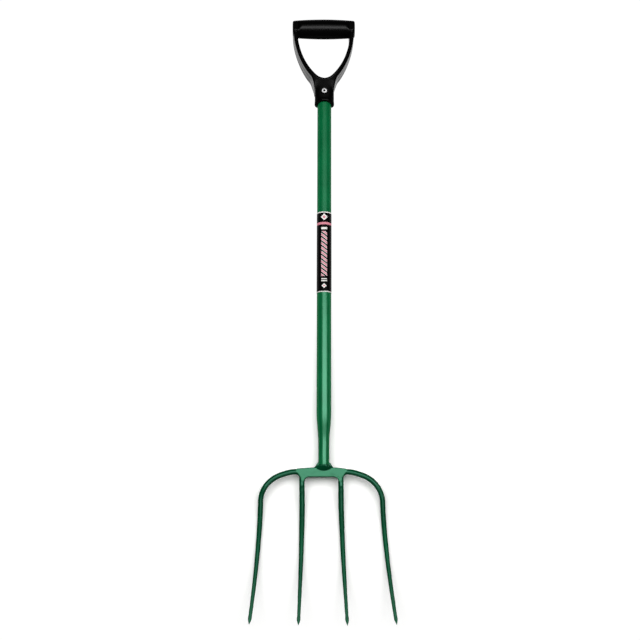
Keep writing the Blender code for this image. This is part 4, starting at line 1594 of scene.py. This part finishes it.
    def arc(self, centre: tuple[float, float], start: float, end: float) -> Outline:
        """Points along a crotch's arc.

        Args:
            centre: the arc's middle.
            start: its first angle, in degrees.
            end: its last angle.

        Returns:
            The points.
        """
        x, y = centre
        angles = [math.radians(degrees) for degrees in spread(start, end, self.arc_steps)]
        return [(x + self.crotch * math.cos(angle), y + self.crotch * math.sin(angle)) for angle in angles]

    def inner_crotch(self) -> Outline:
        """Fillet between the crown's lower edge and an inner tine, from the edge down."""
        x = self.inner_x - self.bar_radius - self.crotch + self.crotch_sink
        return self.arc((x, self.low_y - self.crotch), 90, 0)

    def outer_crotch(self) -> Outline:
        """Fillet between an inner tine and the outer bar, from the tine up."""
        away = self.bar_radius + self.crotch - self.crotch_sink
        return self.arc((self.inner_x + away, self.bar_y + self.root_rise - away), 180, 90)

    def face_outline(self) -> Outline:
        """Outline the dressed flat, which runs out in a point on each inner tine.

        Returns:
            The outline.
        """
        right = self.inner_crotch()[: self.face_crotch] + [self.tongue_tip, self.face_corner]
        right.append((self.corner_x - self.corner_cut, self.top_y - self.corner_drop + self.corner_rise))
        outline = self.both_sides(right)
        # The top edge lies about the shaft's axis, and not about the head's own centre line.
        top = [(self.flat_top_x, self.top_y), (-self.flat_top_x, self.top_y)]
        return outline[: len(right)] + top + outline[len(right) :]

    def web_outline(self) -> Outline:
        """Outline the thinner web that fills the crotches between the bars.

        Returns:
            The outline.
        """
        right = self.inner_crotch()
        right.append((self.inner_x, right[-1][1] - self.bar_radius))
        right += self.outer_crotch()
        right.append((right[-1][0], self.bar_y + self.root_rise + 0.5 * self.bar_radius))
        return self.both_sides(right)

    def wing_outline(self, side: int) -> Outline:
        """Outline a shoulder beside the shaft's end, from the neck down to the crown's top edge.

        Args:
            side: -1 for the left one and 1 for the right one.

        Returns:
            The outline.
        """
        foot = mix(self.top_y, self.low_y, 0.25)
        root = self.wing_start - self.wing_inside
        (neck_run, neck_fall), (edge_run, edge_rise) = self.wing_sweep
        sweep = (
            Vector((self.wing_start, self.wing_rise, 0)),
            Vector((self.wing_start + neck_run, self.wing_rise + neck_fall, 0)),
            Vector((self.wing_start + edge_run, self.top_y + edge_rise, 0)),
            Vector((self.wing_reach, self.top_y - self.wing_sink, 0)),
        )
        outline = [tuple(bezier(sweep, t).xy) for t in spread(0, 1, self.wing_steps)]
        outline += [(self.wing_reach, foot), (root, foot), (root, self.wing_rise)]
        return [(-x, y) for x, y in outline] if side < 0 else outline[::-1]

    def face_share(self, points: np.ndarray) -> np.ndarray:
        """Find the dressed flat's outline.

        Args:
            points: places in the frame.

        Returns:
            How far each place lies inside it, from 0 to 1.
        """
        local = self.place.local(points)
        x, y = np.abs(local[:, 0] - self.shift), local[:, 1]
        tongue, corner = np.array(self.tongue_tip), np.array(self.face_corner)
        along = (corner - tongue) / np.linalg.norm(corner - tongue)
        inside = (y - tongue[1]) * along[0] - (x - tongue[0]) * along[1]
        least = np.minimum(np.minimum(inside, self.top_y + self.dress_over - y), y - tongue[1])
        return ramp(least, -self.dress_fade / 2, self.dress_fade)

    def hammer(self, points: np.ndarray, normals: np.ndarray) -> np.ndarray:
        """Dress the crown flat, and leave the unevenness that drop forging puts under the paint.

        Args:
            points: the mesh's points in the frame.
            normals: their normals.

        Returns:
            How far each point moves.
        """
        height = uneven(points, *self.blows) + uneven(points, *self.scale_marks)
        moved = normals * height[:, None]
        z = self.place.local(points + moved)[:, 2]
        moved[:, 2] += self.face_share(points) * (np.clip(z, -self.flat_half, self.flat_half) - z)
        # No blow of the hammer leaves more metal than the forging has.
        return np.clip(points + moved, np.array(CAD_BOUNDS[0]), np.array(CAD_BOUNDS[1])) - points

    def mark_face(self, head: bpy.types.Object) -> None:
        """Note where the crown was dressed flat, for the painted highlight that the paint puts there.

        Args:
            head: the head, in its last shape.
        """
        points, normals = read_points(head)
        level = ramp(np.abs(normals[:, 2]), self.flat_from, self.flat_fade)
        note(head, FACE_HIGHLIGHT, self.face_share(points) * level)


@dataclass
class NeckWeld:
    """Fillet weld round the shaft's lower end, laid over the tang and the crown's flat."""

    place: Placement
    paint: bpy.types.Material
    neck_radius: float = 0.0106
    rise: float = 0.0008
    fall: float = 0.0122
    leg: float = 0.0021
    half_width: float = 0.0182
    face: float = 0.0050
    # How far the bead stands out from the neck, in depth at its first three stages and in width at
    # the first, and how far its toe lies below the crown's flat.
    collar: tuple[float, float, float] = (0.0003, 0.0005, 0.0002)
    top_spill: float = 0.0006
    toe_sink: float = 0.0006
    ripple: float = 0.00022
    ripples: int = 26
    blob: tuple[float, float, float] = (0.0086, -0.0030, 0.0094)
    blob_radius: float = 0.0021
    blob_steps: int = 8
    blob_sides: int = 16
    softening: int = 2
    sides: int = 104
    grain: float = 0.0005

    def build(self) -> bpy.types.Object:
        """Lay the bead, with the ripples of the weld pool and one blob where it ended.

        Returns:
            The weld.
        """
        collar = [self.neck_radius + out for out in self.collar]
        # How far down the bead, and half its depth and half its width there.
        stages = (
            (0.00, collar[0], self.neck_radius + self.top_spill),
            (0.08, collar[1], self.neck_radius + 0.9 * self.leg),
            (0.26, collar[2], mix(self.neck_radius, self.half_width, 0.72)),
            (0.44, mix(self.face, self.neck_radius, 0.80), self.half_width),
            (0.62, mix(self.face, self.neck_radius, 0.60), self.half_width * 0.98),
            (0.80, mix(self.face, self.neck_radius, 0.32), self.half_width * 0.84),
            (0.93, mix(self.face, self.neck_radius, 0.10), self.half_width * 0.62),
            (1.00, self.face - self.toe_sink, self.half_width * 0.40),
        )
        rings = []
        for share, depth, width in stages:
            ring = ring_across(mix(self.rise, -self.fall, share), width, depth, self.sides)
            for point, angle in zip(ring, turn_angles(self.sides)):
                swell = 1 + self.ripple / depth * math.cos(angle * self.ripples)
                point.x *= swell
                point.z *= swell
            rings.append(ring)
        shell = Shell()
        shell.loft(rings)
        x, y, z = self.blob
        for side in (-1, 1):
            shell.loft(self.blob_rings(Vector((x, y, z * side))))
        weld = shell.finish("neck_weld_bead", self.place.origin)
        weld_skins(weld, self.grain, self.softening)
        return settle(weld, self.paint, "head_enamel", "neck_weld")

    def blob_rings(self, middle: Vector) -> list[Ring]:
        """Draw a small round drop of weld metal.

        Args:
            middle: where it lies.

        Returns:
            Its rings.
        """
        rings = []
        for angle in spread(0, math.pi, self.blob_steps)[1:-1]:
            size = self.blob_radius * math.sin(angle)
            centre = middle - Y_AXIS * (self.blob_radius * math.cos(angle))
            rings.append(oval_ring(centre, (X_AXIS, Z_AXIS), (size, size), self.blob_sides))
        return rings


class Lamp(Enum):
    """The studio's lamps: three that only gloss shows, and one that only lights matt surfaces."""

    KEY = "key"
    REAR = "rear"
    FRONT = "front"
    SKY = "sky"


@dataclass(frozen=True)
class SoftBox:
    """One soft rectangular lamp, in fork coordinates. A glow of 1 is as bright as the room's white."""

    which: Lamp
    width: float
    run: float
    glow: float
    at: tuple[float, float, float]
    target: tuple[float, float, float]

    def hang(self, place: Placement) -> None:
        """Hang the lamp, facing its target.

        Args:
            place: where the fork lies.
        """
        data = bpy.data.lights.new(f"lamp_{self.which.value}", "AREA")
        data.shape = "RECTANGLE"
        data.size = self.width
        data.size_y = self.run
        data.energy = self.glow * math.pi * self.width * self.run
        lamp = bpy.data.objects.new(data.name, data)
        lamp.location = place.origin + Vector(self.at)
        lamp.rotation_euler = (Vector(self.target) - Vector(self.at)).to_track_quat("-Z", "Y").to_euler()
        lamp.visible_camera = False
        lamp.visible_diffuse = self.which is Lamp.SKY
        lamp.visible_glossy = self.which is not Lamp.SKY
        bpy.context.scene.collection.objects.link(lamp)


@dataclass
class Studio:
    """Pale floor, soft lamps and the camera of the photograph."""

    place: Placement
    floor_half: float = 6.0
    shaded_y: float = -0.02
    frame_px: int = 640
    focal_px: float = 901.8
    sensor_mm: float = 36.0
    distance: float = 1.776
    tilt: float = math.radians(11.0)
    aim_y: float = 0.2815
    offset_x: float = -0.0079
    roll: float = 0.002355
    near_clip: float = 0.05
    far_clip: float = 30.0
    fill: float = 0.14
    gloom: float = 0.01
    lamps: tuple[SoftBox, ...] = (
        SoftBox(Lamp.KEY, width=4.74, run=1.21, glow=4.3, at=(0.99, 0.445, 3.2), target=(0.99, 0.445, 0.0)),
        SoftBox(Lamp.REAR, width=4.04, run=1.25, glow=0.45, at=(0.57, 1.68, 3.2), target=(0.57, 1.68, 0.0)),
        SoftBox(Lamp.FRONT, width=1.3, run=1.60, glow=2.4, at=(0.3, -0.95, 1.50), target=(0.3, -2.35, 0.06)),
        SoftBox(Lamp.SKY, width=3.2, run=1.60, glow=3.4, at=(0.0, 0.80, 1.74), target=(0.0, 0.80, 0.0)),
    )

    def build(self) -> None:
        """Set up floor, lamps, the room's own light and the camera."""
        self.lay_floor()
        for lamp in self.lamps:
            lamp.hang(self.place)
        self.fill_room()
        self.set_camera()
        LOG.info("studio: floor, %d lamps and camera", len(self.lamps))

    def lay_floor(self) -> None:
        """Lay a wide sheet of paper under the fork."""
        bm = bmesh.new()
        bmesh.ops.create_grid(bm, x_segments=1, y_segments=1, size=self.floor_half)
        mesh = bpy.data.meshes.new("floor")
        bm.to_mesh(mesh)
        bm.free()
        floor = bpy.data.objects.new("floor", mesh)
        bpy.context.scene.collection.objects.link(floor)
        paper = FloorPaper("matt_floor_paper", self.place.origin.y + self.shaded_y)
        mesh.materials.append(paper.material())

    def fill_room(self) -> None:
        """Make the room dark in reflections, softly lit on matt surfaces, and white to the camera."""
        world = bpy.data.worlds.new("studio_air")
        world.use_nodes = True
        tree = world.node_tree
        seen = add_node(tree, "LightPath").outputs
        soft = {0: seen["Is Diffuse Ray"], 1: self.fill - self.gloom, 2: self.gloom}
        glow = add_node(tree, "Math", soft, operation="MULTIPLY_ADD")
        glow = add_node(tree, "Math", {0: glow, 1: seen["Is Camera Ray"]}, operation="MAXIMUM")
        feed(tree.nodes["Background"], {"Color": to_linear("#ffffff"), "Strength": glow})
        bpy.context.scene.world = world

    def set_camera(self) -> None:
        """Look down on the fork from the photograph's point of view."""
        data = bpy.data.cameras.new("photo_camera")
        data.sensor_fit = "HORIZONTAL"
        data.sensor_width = self.sensor_mm
        data.lens = self.focal_px / self.frame_px * self.sensor_mm
        data.clip_start = self.near_clip
        data.clip_end = self.far_clip
        camera = bpy.data.objects.new("photo_camera", data)
        forward = Vector((0, math.sin(self.tilt), -math.cos(self.tilt)))
        upright = Vector((0, math.cos(self.tilt), math.sin(self.tilt)))
        up = upright * math.cos(self.roll) - forward.cross(upright) * math.sin(self.roll)
        turn = Matrix((forward.cross(up), up, -forward)).transposed().to_4x4()
        aim = self.place.origin + Vector((self.offset_x, self.aim_y, 0))
        camera.matrix_world = Matrix.Translation(aim - forward * self.distance) @ turn
        bpy.context.scene.collection.objects.link(camera)
        bpy.context.scene.camera = camera
        bpy.context.scene.view_settings.view_transform = "Standard"


def main() -> None:
    """Build the fork's pieces and the studio."""
    logging.basicConfig(level=logging.INFO, format="%(name)s: %(message)s")
    place = Placement.from_frame()
    shaft_paint = DippedEnamel("stoved_enamel_on_tube").material()
    head_paint = DippedEnamel(
        "stoved_enamel_on_forging",
        colour="#034a2b",
        shade="#023d23",
        # The dressed flat's lighter green is a painted highlight.
        face_highlight_colour="#145531",
        tint="#a8ffe0",
        roughness=0.16,
        specular=0.64,
        dull_share=0.42,
        dull_roughness=0.36,
        dull_from=place.origin.y - 0.04,
        # The points' lighter green is painted light.
        points_light_colour="#2b5f45",
        points_light_from=place.origin.y - 0.20,
        peel_mm=2.8,
        peel_height_mm=0.02,
    ).material()
    plastic = MouldedPolypropylene("moulded_polypropylene").material()
    aluminium = PlainMetal("formed_aluminium", "#f2f2f3", 0.50, metallic=0.55).material()
    # The mandrel's near-black steel is painted shade, for the dark hole in the rivet's head.
    steel = PlainMetal("steel_wire_painted_shade", "#0c0c0d", 0.60).material()
    ShaftTube(place, shaft_paint).build()
    LabelSleeve(place).build()
    DHandle(place, plastic).build()
    BlindRivet(place, aluminium, steel).build()
    ForgedHead(place, head_paint).build()
    NeckWeld(place, head_paint).build()
    Studio(place).build()
    LOG.info("sizes written")


if __name__ == "__main__":
    main()
